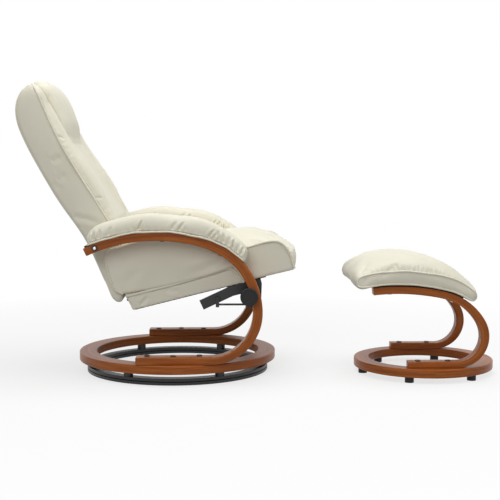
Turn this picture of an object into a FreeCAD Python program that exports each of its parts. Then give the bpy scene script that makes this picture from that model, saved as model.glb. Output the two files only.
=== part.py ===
import FreeCAD, Part
import math
import os

# Swivel recliner with footstool. Millimetres and degrees, +Z up, the chair faces +X.
# The origin is on the floor, on the chair's swivel axis. Left is +Y, right is -Y.

# Clearances shared by every piece
SEAT_GAP = 0.3
RUNNING_CLEARANCE = 0.05
CUT_OVERRUN = 5.0

# Swivel base
BASE_RING_RADIUS = 310.0
BASE_RING_WIDTH = 54.0
BASE_RING_THICKNESS = 26.6
BASE_RING_EDGE = 3.0
RACE_INSET = 24.0
RACE_WIDTH = 30.0
RACE_HEIGHT = 8.7
RACE_SPLIT = 2.6
BALL_RADIUS = 4.0
BALL_CLEARANCE = 0.1
BALL_COUNT = 24
CAGE_WIDTH = 16.0
CAGE_THICKNESS = 1.2
POST_RADIUS = 14.0
POST_HEIGHT = 15.7
POST_COUNT = 6

# Bentwood side frames of the chair
FRAME_INSET = 14.0
FRAME_WIDTH = 50.0
FOOT_SETBACK = 110.0
FOOT_STRAIGHT = 220.0
HEEL_RADIUS = 152.0
HEEL_ANGLE = 89.5
KNEE_RADIUS = 221.0
KNEE_ANGLE = 71.9
ARM_RADIUS = 498.0
ARM_ANGLE = 43.7
FOOT_THICKNESS = 22.0
UPRIGHT_THICKNESS = 28.0
ARM_THICKNESS = 24.0
STRIP_STEPS = 4
UPRIGHT_ANGLE = 90.0
FOOT_BOLT_PITCH = 77.0
FOOT_BOLT_STAGGER = 8.0
FOOT_BOLT_INSET = 32.0
FOOT_BOLT_COUNT = 3
BOLT_SHANK_RADIUS = 4.0
BOLT_HEAD_RADIUS = 8.5
BOLT_HEAD_HEIGHT = 3.0
BOLT_BITE = 18.0

# Arm pads
BOARD_THICKNESS = 5.0
BOARD_WIDTH = 44.0
PAD_WIDTH = 58.0
PAD_OVERHANG = 7.0
PAD_HEIGHT = 50.0
PAD_FRONT_ANGLE = 132.0
PAD_REAR_MARGIN = 6.0
PAD_SIDE_BULGE = 1.5
# share of the pad's run, share of its height, share of its width
PAD_SHARES = ((0.0, 0.22, 0.80), (0.06, 0.62, 0.94), (0.18, 0.82, 1.0), (0.38, 0.96, 1.0), (0.58, 1.0, 1.0),
              (0.79, 1.0, 1.0), (0.9, 0.94, 1.0), (0.95, 0.78, 0.95), (0.982, 0.42, 0.84))
PAD_SHOULDER_SHARE = 0.32
PAD_CREST_SHARE = 0.90
ARM_SCREW_RADIUS = 3.0
ARM_SCREW_HEAD_RADIUS = 6.0
ARM_SCREW_HEAD = 3.0
ARM_SCREW_ANGLES = (150.0, 178.0)

# Recline pivot at the arms' rear ends
PIVOT_SETBACK = 33.0
PIVOT_BOLT_RADIUS = 5.0
PIVOT_HEAD_RADIUS = 5.2
PIVOT_HEAD_HEIGHT = 4.0
PIVOT_WASHER_RADIUS = 9.0
PIVOT_WASHER_THICKNESS = 2.0
PIVOT_BUSH_RADIUS = 8.0
PIVOT_PLATE_THICKNESS = 4.0
PIVOT_PLATE_LENGTH = 110.0

# Back
BACK_LEAN_ANGLE = 28.0
BACK_LENGTH = 695.0
BACK_BELOW_PIVOT = 178.0
BACK_DEPTH = 105.0
BACK_TO_FRAME = 25.0
# share of the length, rear face and side seam as shares of the depth, share of the half width
BACK_SHARES = ((0, -0.257, -0.133, 0.97), (0.019, -0.352, -0.076, 1), (0.069, -0.371, 0.114, 1),
               (0.17, -0.333, 0.476, 1), (0.305, -0.286, 0.6, 1), (0.445, -0.4, 0.547, 1),
               (0.596, -0.467, 0.476, 1), (0.717, -0.476, 0.448, 1), (0.822, -0.443, 0.481, 1),
               (0.901, -0.352, 0.533, 1), (0.941, -0.21, 0.557, 0.995), (0.97, -0.019, 0.552, 0.975),
               (0.988, 0.171, 0.524, 0.93), (1, 0.305, 0.476, 0.8))
BACK_REAR_CROWN_SHARE = 0.06
BACK_CORNER_SHARE = 0.08
# share of the length, bolster crest as a share of the depth, share of the half width
BACK_CUSHION_SHARES = ((0.072, 0.267, 1), (0.112, 0.495, 1), (0.187, 0.695, 1), (0.321, 0.8, 1),
                       (0.466, 0.79, 1), (0.601, 0.719, 1), (0.725, 0.638, 1), (0.829, 0.657, 1),
                       (0.922, 0.686, 0.99), (0.97, 0.648, 0.97), (0.987, 0.6, 0.92), (0.996, 0.552, 0.8))
CUSHION_SETBACK = 1.5
CUSHION_GAP = 0.8
CUSHION_TUCK = 4.0
HEADREST_GAP = 1.2
CUSHION_CENTRE_SHARE = 0.45
BOLSTER_CREST_SHARE = 0.78
BOLSTER_INNER_SHARE = 0.66
# share of the length, front face as a share of the depth, share of the headrest's half width
HEADREST_WIDTH_SHARE = 0.6335
HEADREST_SHARES = ((0.688, 0.63, 0.88), (0.744, 0.762, 0.97), (0.778, 0.876, 1), (0.824, 0.962, 1),
                   (0.872, 1.02, 1), (0.927, 1.045, 1), (0.965, 0.98, 0.98), (0.993, 0.857, 0.9),
                   (1.013, 0.667, 0.72))

# Frame hidden in the back
POCKET_REAR = 12.0
BACK_FRAME_DEPTH = 32.0
BACK_FRAME_MARGIN = 26.0
BACK_FRAME_BELOW = 150.0
BACK_FRAME_ABOVE = 440.0
BACK_RAIL = 40.0
BACK_STRAP_COUNT = 5
BACK_STRAP_WIDTH = 45.0
STRAP_THICKNESS = 2.5

# Hinge between the back's foot and the seat's rear rail
HINGE_FORWARD = 84.0
HINGE_DROP = 165.0
HINGE_PLACE_SHARE = 0.7692
HINGE_LEAF_WIDTH = 44.0
HINGE_PIN_RADIUS = 2.5
HINGE_KNUCKLE_RADIUS = 5.0
HINGE_LEAF_THICKNESS = 3.0
HINGE_KNUCKLE_SHARES = (-0.5, -0.25, 0.25, 0.5)

# Seat, in its own slope: u runs forward along the underside, v stands square to it
SEAT_SLOPE_ANGLE = 14.0
SEAT_REAR_FROM_HINGE_U = 19.4
SEAT_UNDER_HINGE_V = 29.6
SEAT_NOSE_DEPTH = 86.0
SEAT_FRAME_HEIGHT = 44.0
SEAT_RAIL = 30.0
SEAT_TO_FRAME = 6.2
SEAT_SIDE_THICKNESS = 16.0
SEAT_LENGTH = 486.0
SEAT_SEAM_HEIGHT = 101.0
SEAT_CROWN = 38.0
SEAT_NOSE_BULGE = 24.0
SEAT_REAR_LEAN = 34.0
SEAT_REAR_RELIEF = 14.0
DUST_COVER_THICKNESS = 2.0
APRON_THICKNESS = 7.5
APRON_FRONT_GAP = 1.2
APRON_REAR_THICKNESS = 8.0
SEAT_STRAP_COUNT = 5
SEAT_STRAP_WIDTH = 48.0
# share of the half width, share of the crown
SEAT_CROWN_SHARES = ((-1.0, 0.0), (-0.86, 0.42), (-0.5, 0.9), (0.0, 1.0), (0.5, 0.9), (0.86, 0.42),
                     (1.0, 0.0))
# side panel: wing over the seat's rear half
WING_TOP = 205.0
WING_REAR = 53.0
WING_CORNER = 32.0
WING_FRONT_U = 150.0
WING_SWEEP_U = 352.0
CREASE_V = 46.0
CREASE_RISE = 9.0
CREASE_FRONT_U = 312.0
CREASE_STEP = 22.0
SIDE_EDGE = 5.0
# share of the side panel's thickness, share of the drawn-in edge
SIDE_CROWN_SHARES = ((0.0, 0.4), (0.5, 0.0), (1.0, 1.0))
# places on the seat's side profile, as shares of its length and seam height
BROW_SHARE = 0.95
CREST_SHARE = 0.8
CROWN_PLACE_SHARE = 0.72
NOSE_MIDDLE_SHARE = 0.45
WING_SAG_SHARE = 0.55

# Glide that carries the seat's front
KNOB_RISE_ANGLE = 15.5
KNOB_RADIUS = 26.0
KNOB_THICKNESS = 22.0
KNOB_EDGE = 2.5
KNOB_DISH = 1.2
KNOB_STAND_OFF = 1.5
STUD_RADIUS = 4.0
STUD_EDGE_GAP = 1.5
BRACKET_THICKNESS = 4.0
BRACKET_HEIGHT = 36.0
BRACKET_REACH = 28.0
BRACKET_BOLT_RADIUS = 3.0
CLAMP_THICKNESS = 9.0
CLAMP_HALF_LENGTH = 9.5
CLAMP_TOP = 11.0
CLAMP_LIP = 2.5
ROD_RADIUS = 3.0
ROD_DROP = 30.5
ROD_SLACK_UP = 5.5
ROD_SLACK_DOWN = 2.5
BAR_THICKNESS = 6.0
BAR_DEPTH = 30.0
BAR_TAIL = 100.0
BAR_DROOP_ANGLE = 11.0
BAR_RUN = 94.0
BAR_FRONT_MARGIN = 17.0
BAR_TO_CLAMP = 2.7
LEG_WIDTH = 12.0
EAR_HALF = 5.0
EAR_HEIGHT = 8.0
EAR_RISE = 22.0
EAR_SETBACK = 60.0
FLANGE_WIDTH = 24.0
FLANGE_THICKNESS = 3.0
FLANGE_BOLT_COUNT = 3
FLANGE_BOLT_HEAD = 5.0

# Footstool
STOOL_X = 773.0
STOOL_Y = -69.4
STOOL_RING_RADIUS = 215.5
STOOL_RING_WIDTH = 46.5
STOOL_RING_THICKNESS = 26.0
STOOL_FOOT_HEIGHT = 17.0
STOOL_FOOT_RADIUS = 13.5
STOOL_FOOT_INSET = 21.5
STOOL_FOOT_TURN_ANGLE = 8.0
STOOL_FOOT_COUNT = 6
STOOL_FRAME_INSET = 26.5
STOOL_FRAME_WIDTH = 40.0
STOOL_FOOT_SETBACK = 77.0
STOOL_FOOT_STRAIGHT = 146.0
STOOL_HEEL_RADIUS = 94.0
STOOL_HEEL_ANGLE = 119.5
STOOL_KNEE_RADIUS = 182.0
STOOL_KNEE_ANGLE = 47.7
STOOL_TOP_RADIUS = 645.0
STOOL_TOP_ANGLE = 19.4
STOOL_FOOT_THICKNESS = 19.0
STOOL_UPRIGHT_THICKNESS = 24.0
STOOL_TOP_THICKNESS = 22.0
STOOL_BOLT_PITCH = 91.0
STOOL_BOLT_INSET = 30.0
STOOL_BOLT_COUNT = 2
STOOL_STRIP_THICKNESS = 4.0
STOOL_STRIP_WIDTH = 30.0
STOOL_STRIP_FRONT_ANGLE = 150.0
STOOL_SCREW_ANGLES = (158.0, 182.0)
STOOL_BOARD_THICKNESS = 10.0
STOOL_BOARD_INSET = 11.0
STOOL_BOARD_MARGIN = 14.0
STOOL_BOARD_FRONT_ANGLE = 155.0
BOARD_SLACK = 0.65
STOOL_CUSHION_SPREAD = 11.0
STOOL_CUSHION_SEAM = 46.0
STOOL_CUSHION_CROWN = 29.0
STOOL_CUSHION_LIP = 26.0
STOOL_CUSHION_TAIL = 16.0
STOOL_CUSHION_FRONT_ANGLE = 147.0
STOOL_CUSHION_OVERHANG = 36.0
STOOL_BULGE_SHARE = 0.3
STOOL_REAR_SHARE = 0.78
STOOL_FRONT_SHARE = 0.66
# share of the half width, share of the crown, share of the end overhang
STOOL_CROWN_SHARES = ((-1.0, 0.0, 0.72), (-0.88, 0.5, 0.92), (-0.5, 0.92, 1.0), (0.0, 1.0, 1.0),
                      (0.5, 0.92, 1.0), (0.88, 0.5, 0.92), (1.0, 0.0, 0.72))

# Sizes that follow from those above
BASE_RING_BORE = BASE_RING_RADIUS - BASE_RING_WIDTH
RACE_RADIUS = BASE_RING_RADIUS - RACE_INSET
RACE_BORE = RACE_RADIUS - RACE_WIDTH
RACE_TOP = 2 * RACE_HEIGHT + RACE_SPLIT
BASE_RING_BOTTOM = RACE_TOP + POST_HEIGHT
BASE_RING_TOP = BASE_RING_BOTTOM + BASE_RING_THICKNESS
RACE_MIDDLE = (RACE_RADIUS + RACE_BORE) / 2
FRAME_OUTER_Y = BASE_RING_RADIUS - FRAME_INSET
FRAME_INNER_Y = FRAME_OUTER_Y - FRAME_WIDTH
FRAME_MID_Y = FRAME_OUTER_Y - FRAME_WIDTH / 2
BACK_HALF_WIDTH = FRAME_INNER_Y - BACK_TO_FRAME
BACK_FRAME_HALF_WIDTH = BACK_HALF_WIDTH - BACK_FRAME_MARGIN
HEADREST_HALF_WIDTH = BACK_HALF_WIDTH * HEADREST_WIDTH_SHARE
HINGE_Y = BACK_FRAME_HALF_WIDTH * HINGE_PLACE_SHARE
SIDE_OUTER_Y = FRAME_INNER_Y - SEAT_TO_FRAME
SIDE_INNER_Y = SIDE_OUTER_Y - SEAT_SIDE_THICKNESS
SEAT_CUSHION_HALF_WIDTH = SIDE_INNER_Y - SEAT_GAP
SEAT_FRAME_LENGTH = SEAT_LENGTH - SEAT_NOSE_DEPTH
SEAT_DECK = DUST_COVER_THICKNESS + SEAT_FRAME_HEIGHT
BAR_FRONT_U = SEAT_FRAME_LENGTH - BAR_FRONT_MARGIN
BAR_BEND_U = BAR_FRONT_U - BAR_RUN
STOOL_RING_TOP = STOOL_FOOT_HEIGHT + STOOL_RING_THICKNESS
STOOL_RING_BORE = STOOL_RING_RADIUS - STOOL_RING_WIDTH
STOOL_FOOT_CIRCLE = STOOL_RING_RADIUS - STOOL_FOOT_INSET
STOOL_FRAME_OUTER = STOOL_RING_RADIUS - STOOL_FRAME_INSET
STOOL_FRAME_MID_Y = STOOL_Y + STOOL_FRAME_OUTER - STOOL_FRAME_WIDTH / 2
STOOL_BOARD_HALF_WIDTH = STOOL_FRAME_OUTER - STOOL_BOARD_INSET
STOOL_CUSHION_HALF_WIDTH = STOOL_FRAME_OUTER + STOOL_CUSHION_SPREAD
X_AXIS = FreeCAD.Vector(1, 0, 0)
Y_AXIS = FreeCAD.Vector(0, 1, 0)
Z_AXIS = FreeCAD.Vector(0, 0, 1)


def at(x, z, y=0.0):
    """A point of the side view, at a place across the chair."""
    return FreeCAD.Vector(x, y, z)


def line(a, b):
    """A straight edge."""
    return Part.LineSegment(a, b).toShape()


def arc(a, b, c):
    """An arc from a over b to c."""
    return Part.Arc(a, b, c).toShape()


def curve(points):
    """A smooth edge through points."""
    spline = Part.BSplineCurve()
    spline.interpolate(points)
    return spline.toShape()


def face(edges):
    """A flat face inside a closed run of edges."""
    return Part.Face(Part.Wire(edges))


def outline(points):
    """The straight edges round a polygon."""
    return [line(a, b) for a, b in zip(points, points[1:] + points[:1])]


def across(flat, y_low, y_high):
    """A face of the side view drawn out across the chair."""
    flat.translate(FreeCAD.Vector(0, y_low, 0))
    return flat.extrude(FreeCAD.Vector(0, y_high - y_low, 0))


def slab(points, y_low, y_high):
    """A polygon of the side view drawn out across the chair."""
    return across(face(outline(points)), y_low, y_high)


def loft(wires):
    """A smooth closed solid through flat sections."""
    return Part.makeLoft(wires, True, False)


def rod(radius, centre, y_low, y_high):
    """A round bar across the chair, centred on a point of the side view."""
    return Part.makeCylinder(radius, y_high - y_low, FreeCAD.Vector(centre.x, y_low, centre.z), Y_AXIS)


def ring(radius, bore, low, height, x=0.0, y=0.0):
    """A flat ring that lies level."""
    centre = FreeCAD.Vector(x, y, low)
    hole = Part.makeCylinder(bore, height + 2 * CUT_OVERRUN, centre - Z_AXIS * CUT_OVERRUN)
    return Part.makeCylinder(radius, height, centre).cut(hole)


def is_circle(edge):
    """True for a full circle."""
    return len(edge.Vertexes) == 1


def softened(shape, radius, wanted):
    """A solid with the edges that pass a test rounded."""
    return shape.makeFillet(radius, [edge for edge in shape.Edges if wanted(edge)])


def other_side(shape, middle=0.0):
    """The same piece on the right of a middle plane."""
    return shape.mirror(FreeCAD.Vector(0, middle, 0), Y_AXIS)


def keep(name, *solids):
    """Write a node: one solid, or several of a kind."""
    shape = solids[0] if len(solids) == 1 else Part.makeCompound(list(solids))
    shape.exportStep("parts/" + name + ".step")


class BentStrip:
    """A wooden strip bent from a level foot through tangent arcs, seen from the side."""

    def __init__(self, start, straight, bends, thicknesses):
        self.start = start
        self.straight = straight
        self.bends = []
        self.foot, self.upright, self.top = thicknesses
        corner = start + FreeCAD.Vector(straight, 0, 0)
        heading = 0.0
        for radius, sweep in bends:
            centre = corner - self.outward(heading) * radius
            self.bends.append((radius, heading, heading + sweep, centre))
            heading += sweep
            corner = centre + self.outward(heading) * radius
        self.end_heading = heading

    def outward(self, heading):
        """Unit vector from the strip's inside to its outside at a heading."""
        angle = math.radians(heading)
        return FreeCAD.Vector(math.sin(angle), 0, -math.cos(angle))

    def forward(self, heading):
        """Unit vector along the strip at a heading."""
        angle = math.radians(heading)
        return FreeCAD.Vector(math.cos(angle), 0, math.sin(angle))

    def outside(self, heading, offset=0.0):
        """A point on the outer face, or off it by an offset."""
        for radius, low, high, centre in self.bends:
            if heading <= high:
                break
        return centre + self.outward(heading) * (radius + offset)

    def thickness(self, heading):
        """The strip swells from its foot to the upright and thins again to its end."""
        if heading <= UPRIGHT_ANGLE:
            share, low, high = heading / UPRIGHT_ANGLE, self.foot, self.upright
        else:
            share = (heading - UPRIGHT_ANGLE) / (self.end_heading - UPRIGHT_ANGLE)
            low, high = self.upright, self.top
        return low + (high - low) * (1 - math.cos(math.pi * share)) / 2

    def heading_before_end(self, distance):
        """The heading at a distance along the last arc from the strip's end."""
        return self.end_heading - math.degrees(distance / self.bends[-1][0])

    def run_edges(self, low, high, offset=0.0):
        """Arcs along the outer face between two headings."""
        edges = []
        for radius, first, last, centre in self.bends:
            a, b = max(low, first), min(high, last)
            if b > a:
                stops = [centre + self.outward(h) * (radius + offset) for h in (a, (a + b) / 2, b)]
                edges.append(arc(*stops))
        return edges

    def section(self):
        """The strip's side view as a face."""
        toe = self.start + FreeCAD.Vector(self.straight, 0, 0)
        lift = Z_AXIS * self.foot
        inner = [toe + lift]
        for radius, low, high, centre in self.bends:
            for step in range(1, STRIP_STEPS + 1):
                heading = low + (high - low) * step / STRIP_STEPS
                inner.append(centre + self.outward(heading) * (radius - self.thickness(heading)))
        inside = curve(inner)
        edges = [line(self.start, toe)] + self.run_edges(0.0, self.end_heading)
        edges += [line(self.outside(self.end_heading), inner[-1]), inside]
        edges += [line(toe + lift, self.start + lift), line(self.start + lift, self.start)]
        return face(edges)

    def plank(self, low, high, base, height):
        """A strip of even thickness that follows the outer face between two headings."""
        under = self.run_edges(low, high, base)
        over = self.run_edges(low, high, base + height)
        ends = [line(self.outside(h, base), self.outside(h, base + height)) for h in (low, high)]
        return face(Part.__sortEdges__(under + over + ends))


def seat_at(u, v, y=0.0):
    """A point of the seat, from its sloping underside."""
    angle = math.radians(SEAT_SLOPE_ANGLE)
    cosine, sine = math.cos(angle), math.sin(angle)
    return SEAT_CORNER + at(u * cosine - v * sine, u * sine + v * cosine, y)


def back_at(s, t, y=0.0):
    """A point of the back: s up along it from the pivot, t forward."""
    angle = math.radians(BACK_LEAN_ANGLE)
    cosine, sine = math.cos(angle), math.sin(angle)
    return PIVOT + at(t * cosine - s * sine, s * cosine + t * sine, y)


def seat_normal():
    """Unit vector square to the seat's slope."""
    angle = math.radians(SEAT_SLOPE_ANGLE)
    return at(-math.sin(angle), math.cos(angle))


def seat_block(u_low, u_high, v_low, v_high, y_low, y_high):
    """A box lying in the seat's slope."""
    corners = ((u_low, v_low), (u_high, v_low), (u_high, v_high), (u_low, v_high))
    return slab([seat_at(u, v) for u, v in corners], y_low, y_high)


def back_block(s_low, s_high, t_low, t_high, y_low, y_high):
    """A box lying in the back's lean."""
    corners = ((s_low, t_low), (s_high, t_low), (s_high, t_high), (s_low, t_high))
    return slab([back_at(s, t) for s, t in corners], y_low, y_high)


def shares_between(table, share):
    """The second and later columns of a table of shares, read between its rows."""
    for low, high in zip(table, table[1:]):
        if share <= high[0]:
            break
    part = (share - low[0]) / (high[0] - low[0])
    return [a + (b - a) * part for a, b in zip(low[1:], high[1:])]


CHAIR_STRIP = BentStrip(at(-FOOT_SETBACK, BASE_RING_TOP), FOOT_STRAIGHT,
                        ((HEEL_RADIUS, HEEL_ANGLE), (KNEE_RADIUS, KNEE_ANGLE), (ARM_RADIUS, ARM_ANGLE)),
                        (FOOT_THICKNESS, UPRIGHT_THICKNESS, ARM_THICKNESS))
STOOL_STRIP = BentStrip(at(STOOL_X - STOOL_FOOT_SETBACK, STOOL_RING_TOP), STOOL_FOOT_STRAIGHT,
                        ((STOOL_HEEL_RADIUS, STOOL_HEEL_ANGLE), (STOOL_KNEE_RADIUS, STOOL_KNEE_ANGLE),
                         (STOOL_TOP_RADIUS, STOOL_TOP_ANGLE)),
                        (STOOL_FOOT_THICKNESS, STOOL_UPRIGHT_THICKNESS, STOOL_TOP_THICKNESS))
PIVOT_ANGLE = CHAIR_STRIP.heading_before_end(PIVOT_SETBACK)
PIVOT = CHAIR_STRIP.outside(PIVOT_ANGLE, -CHAIR_STRIP.thickness(PIVOT_ANGLE) / 2)
KNOB_ANGLE = HEEL_ANGLE + KNOB_RISE_ANGLE
KNOB_DEPTH = CHAIR_STRIP.thickness(KNOB_ANGLE) + STUD_RADIUS + STUD_EDGE_GAP
KNOB_AXIS = CHAIR_STRIP.outside(KNOB_ANGLE, -KNOB_DEPTH)
HINGE = PIVOT + at(HINGE_FORWARD, -HINGE_DROP)
SLOPE = math.radians(SEAT_SLOPE_ANGLE)
SEAT_CORNER = HINGE + at(SEAT_REAR_FROM_HINGE_U * math.cos(SLOPE) + SEAT_UNDER_HINGE_V * math.sin(SLOPE),
                         SEAT_REAR_FROM_HINGE_U * math.sin(SLOPE) - SEAT_UNDER_HINGE_V * math.cos(SLOPE))
CLAMP_OUTER_Y = FRAME_INNER_Y - BRACKET_THICKNESS - SEAT_GAP
CLAMP_INNER_Y = CLAMP_OUTER_Y - CLAMP_THICKNESS
ROD_Y = (CLAMP_OUTER_Y + CLAMP_INNER_Y) / 2
BAR_OUTER_Y = CLAMP_INNER_Y - BAR_TO_CLAMP
BAR_INNER_Y = BAR_OUTER_Y - BAR_THICKNESS
ROD_HEIGHT = KNOB_AXIS.z - ROD_DROP


def swivel_base():
    """Floor race, balls in their cage, upper race, posts and the wooden ring."""
    ball_height = RACE_HEIGHT + RACE_SPLIT / 2
    groove = Part.makeTorus(RACE_MIDDLE, BALL_RADIUS + BALL_CLEARANCE, at(0, ball_height))
    keep("floor_ring", ring(RACE_RADIUS, RACE_BORE, 0, RACE_HEIGHT).cut(groove))
    keep("swivel_ring", ring(RACE_RADIUS, RACE_BORE, RACE_HEIGHT + RACE_SPLIT, RACE_HEIGHT).cut(groove))
    cage = ring(RACE_MIDDLE + CAGE_WIDTH / 2, RACE_MIDDLE - CAGE_WIDTH / 2, ball_height - CAGE_THICKNESS / 2,
                CAGE_THICKNESS)
    balls = []
    for step in range(BALL_COUNT):
        angle = 2 * math.pi * step / BALL_COUNT
        place = FreeCAD.Vector(RACE_MIDDLE * math.cos(angle), RACE_MIDDLE * math.sin(angle), ball_height)
        balls.append(Part.makeSphere(BALL_RADIUS, place))
        low = place - Z_AXIS * BALL_RADIUS
        cage = cage.cut(Part.makeCylinder(BALL_RADIUS + BALL_CLEARANCE, 2 * BALL_RADIUS, low))
    keep("ball_cage", cage)
    keep("bearing_balls", *balls)
    posts = []
    for step in range(POST_COUNT):
        angle = 2 * math.pi * step / POST_COUNT
        place = FreeCAD.Vector(RACE_MIDDLE * math.cos(angle), RACE_MIDDLE * math.sin(angle), RACE_TOP)
        posts.append(Part.makeCylinder(POST_RADIUS, POST_HEIGHT, place))
    keep("spacer_posts", *posts)
    wood = ring(BASE_RING_RADIUS, BASE_RING_BORE, BASE_RING_BOTTOM, BASE_RING_THICKNESS)
    wood = softened(wood, BASE_RING_EDGE, is_circle)
    for shank in foot_shanks(CHAIR_STRIP, chair_bolt_places()):
        wood = wood.cut(shank)
    keep("base_ring", wood)


def chair_bolt_places():
    """Bolts through both feet of the chair: a staggered row on each."""
    places = []
    for index in range(FOOT_BOLT_COUNT):
        x = FOOT_BOLT_INSET - FOOT_SETBACK + index * FOOT_BOLT_PITCH
        y = FRAME_MID_Y - FOOT_BOLT_STAGGER * (1 - index % 2)
        places += [(x, y), (x, -y)]
    return places


def stool_bolt_places():
    """Bolts through both feet of the stool: a straight row on each."""
    places = []
    reach = STOOL_FRAME_OUTER - STOOL_FRAME_WIDTH / 2
    for index in range(STOOL_BOLT_COUNT):
        x = STOOL_X - STOOL_FOOT_SETBACK + STOOL_BOLT_INSET + index * STOOL_BOLT_PITCH
        places += [(x, STOOL_Y + reach), (x, STOOL_Y - reach)]
    return places


def foot_shanks(strip, places, clearance=RUNNING_CLEARANCE):
    """Round bars where the bolts pass through a foot and bite into the ring below."""
    low = strip.start.z - BOLT_BITE
    height = strip.foot + BOLT_BITE
    radius = BOLT_SHANK_RADIUS + clearance
    return [Part.makeCylinder(radius, height, FreeCAD.Vector(x, y, low)) for x, y in places]


def foot_bolts(name, strip, places):
    """Domed bolts that hold a foot to its ring."""
    bolts = []
    top = strip.start.z + strip.foot
    for shank, (x, y) in zip(foot_shanks(strip, places, 0), places):
        head = Part.makeCylinder(BOLT_HEAD_RADIUS, BOLT_HEAD_HEIGHT, FreeCAD.Vector(x, y, top))
        half = BOLT_HEAD_HEIGHT / 2
        head = softened(head, half, lambda edge: is_circle(edge) and edge.BoundBox.ZMin > top + half)
        bolts.append(shank.fuse(head).removeSplitter())
    keep(name, *bolts)


def side_frames():
    """The chair's two bentwood frames, with their holes."""
    wood = across(CHAIR_STRIP.section(), FRAME_INNER_Y, FRAME_OUTER_Y)
    for shank in foot_shanks(CHAIR_STRIP, chair_bolt_places()):
        wood = wood.cut(shank)
    wood = wood.cut(rod(PIVOT_BOLT_RADIUS + RUNNING_CLEARANCE, PIVOT, FRAME_INNER_Y - CUT_OVERRUN,
                        FRAME_OUTER_Y + CUT_OVERRUN))
    for screw in arm_screws(RUNNING_CLEARANCE):
        wood = wood.cut(screw)
    for bolt in bracket_bolts(RUNNING_CLEARANCE):
        wood = wood.cut(bolt)
    keep("side_frame_left", wood)
    keep("side_frame_right", other_side(wood))
    foot_bolts("foot_bolts", CHAIR_STRIP, chair_bolt_places())


def strip_screws(strip, headings, y, reach, clearance):
    """Screws from under a bent strip: a flat head let into the wood, and a shank that reaches past it."""
    screws = []
    for heading in headings:
        out = strip.outward(heading)
        thick = strip.thickness(heading)
        seat = strip.outside(heading, -thick)
        seat.y = y
        low = seat - out * ARM_SCREW_HEAD
        head = Part.makeCylinder(ARM_SCREW_HEAD_RADIUS + clearance, ARM_SCREW_HEAD, low, out)
        screws.append(head.fuse(Part.makeCylinder(ARM_SCREW_RADIUS + clearance, thick + reach, seat, out)))
    return screws


def arm_screws(clearance):
    """The screws that hold the left arm's board."""
    return strip_screws(CHAIR_STRIP, ARM_SCREW_ANGLES, FRAME_MID_Y, BOARD_THICKNESS / 2, clearance)


def arms():
    """Padded boards on the arms, with the screws that hold them."""
    low = PAD_FRONT_ANGLE
    high = CHAIR_STRIP.heading_before_end(PAD_REAR_MARGIN)
    board = across(CHAIR_STRIP.plank(low, high, 0.0, BOARD_THICKNESS), FRAME_MID_Y - BOARD_WIDTH / 2,
                   FRAME_MID_Y + BOARD_WIDTH / 2)
    for screw in arm_screws(RUNNING_CLEARANCE):
        board = board.cut(screw)
    pair("arm_board", board)
    outer = FRAME_OUTER_Y + PAD_OVERHANG
    middle = outer - PAD_WIDTH / 2
    sections = []
    for run, tall, wide in PAD_SHARES:
        heading = low + (high - low) * run
        half = PAD_WIDTH * wide / 2
        height = PAD_HEIGHT * tall
        base = BOARD_THICKNESS + SEAT_GAP

        def spot(offset, rise):
            point = CHAIR_STRIP.outside(heading, base + height * rise)
            point.y = middle + offset
            return point

        shoulder = PAD_WIDTH * wide * PAD_SHOULDER_SHARE
        bulge = half + PAD_SIDE_BULGE * tall
        sections.append(Part.Wire([
            line(spot(-half, 0), spot(half, 0)),
            arc(spot(half, 0), spot(bulge, 0.5), spot(shoulder, PAD_CREST_SHARE)),
            arc(spot(shoulder, PAD_CREST_SHARE), spot(0, 1), spot(-shoulder, PAD_CREST_SHARE)),
            arc(spot(-shoulder, PAD_CREST_SHARE), spot(-bulge, 0.5), spot(-half, 0))]))
    under = across(CHAIR_STRIP.plank(low, high, 0.0, BOARD_THICKNESS + SEAT_GAP), middle - PAD_WIDTH,
                   middle + PAD_WIDTH)
    pair("arm_pad", largest(loft(sections).cut(under)))
    screws = arm_screws(0)
    keep("arm_screws", *(screws + [other_side(screw) for screw in screws]))


def recline_pivots():
    """Bolts through the arms' rear ends, their washers, and the bushes and plates that turn on them."""
    plate_outer = BACK_FRAME_HALF_WIDTH + PIVOT_PLATE_THICKNESS
    face_y = FRAME_OUTER_Y + PIVOT_WASHER_THICKNESS
    bolt = rod(PIVOT_BOLT_RADIUS, PIVOT, BACK_FRAME_HALF_WIDTH, face_y)
    dome = Part.makeSphere(PIVOT_HEAD_RADIUS, FreeCAD.Vector(PIVOT.x, face_y, PIVOT.z))
    dome = dome.common(rod(PIVOT_HEAD_RADIUS, PIVOT, face_y, face_y + PIVOT_HEAD_HEIGHT))
    bolt = bolt.fuse(dome).removeSplitter()
    keep("pivot_bolts", bolt, other_side(bolt))
    bore = PIVOT_BOLT_RADIUS + RUNNING_CLEARANCE
    hole = rod(bore, PIVOT, 0, face_y + CUT_OVERRUN)
    washer = rod(PIVOT_WASHER_RADIUS, PIVOT, FRAME_OUTER_Y, face_y).cut(hole)
    keep("pivot_washers", washer, other_side(washer))
    bush = rod(PIVOT_BUSH_RADIUS, PIVOT, plate_outer, FRAME_INNER_Y - SEAT_GAP).cut(hole)
    keep("pivot_bushes", bush, other_side(bush))
    half = BACK_FRAME_DEPTH / 2
    middle = half - POCKET_REAR + SEAT_GAP
    plate = back_block(-PIVOT_PLATE_LENGTH / 2, PIVOT_PLATE_LENGTH / 2, middle - half, middle + half,
                       BACK_FRAME_HALF_WIDTH, plate_outer).cut(hole)
    keep("pivot_plate_left", plate)
    keep("pivot_plate_right", other_side(plate))


def back_run(share):
    """Distance from the pivot for a share of the back's length."""
    return BACK_LENGTH * share - BACK_BELOW_PIVOT


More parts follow.
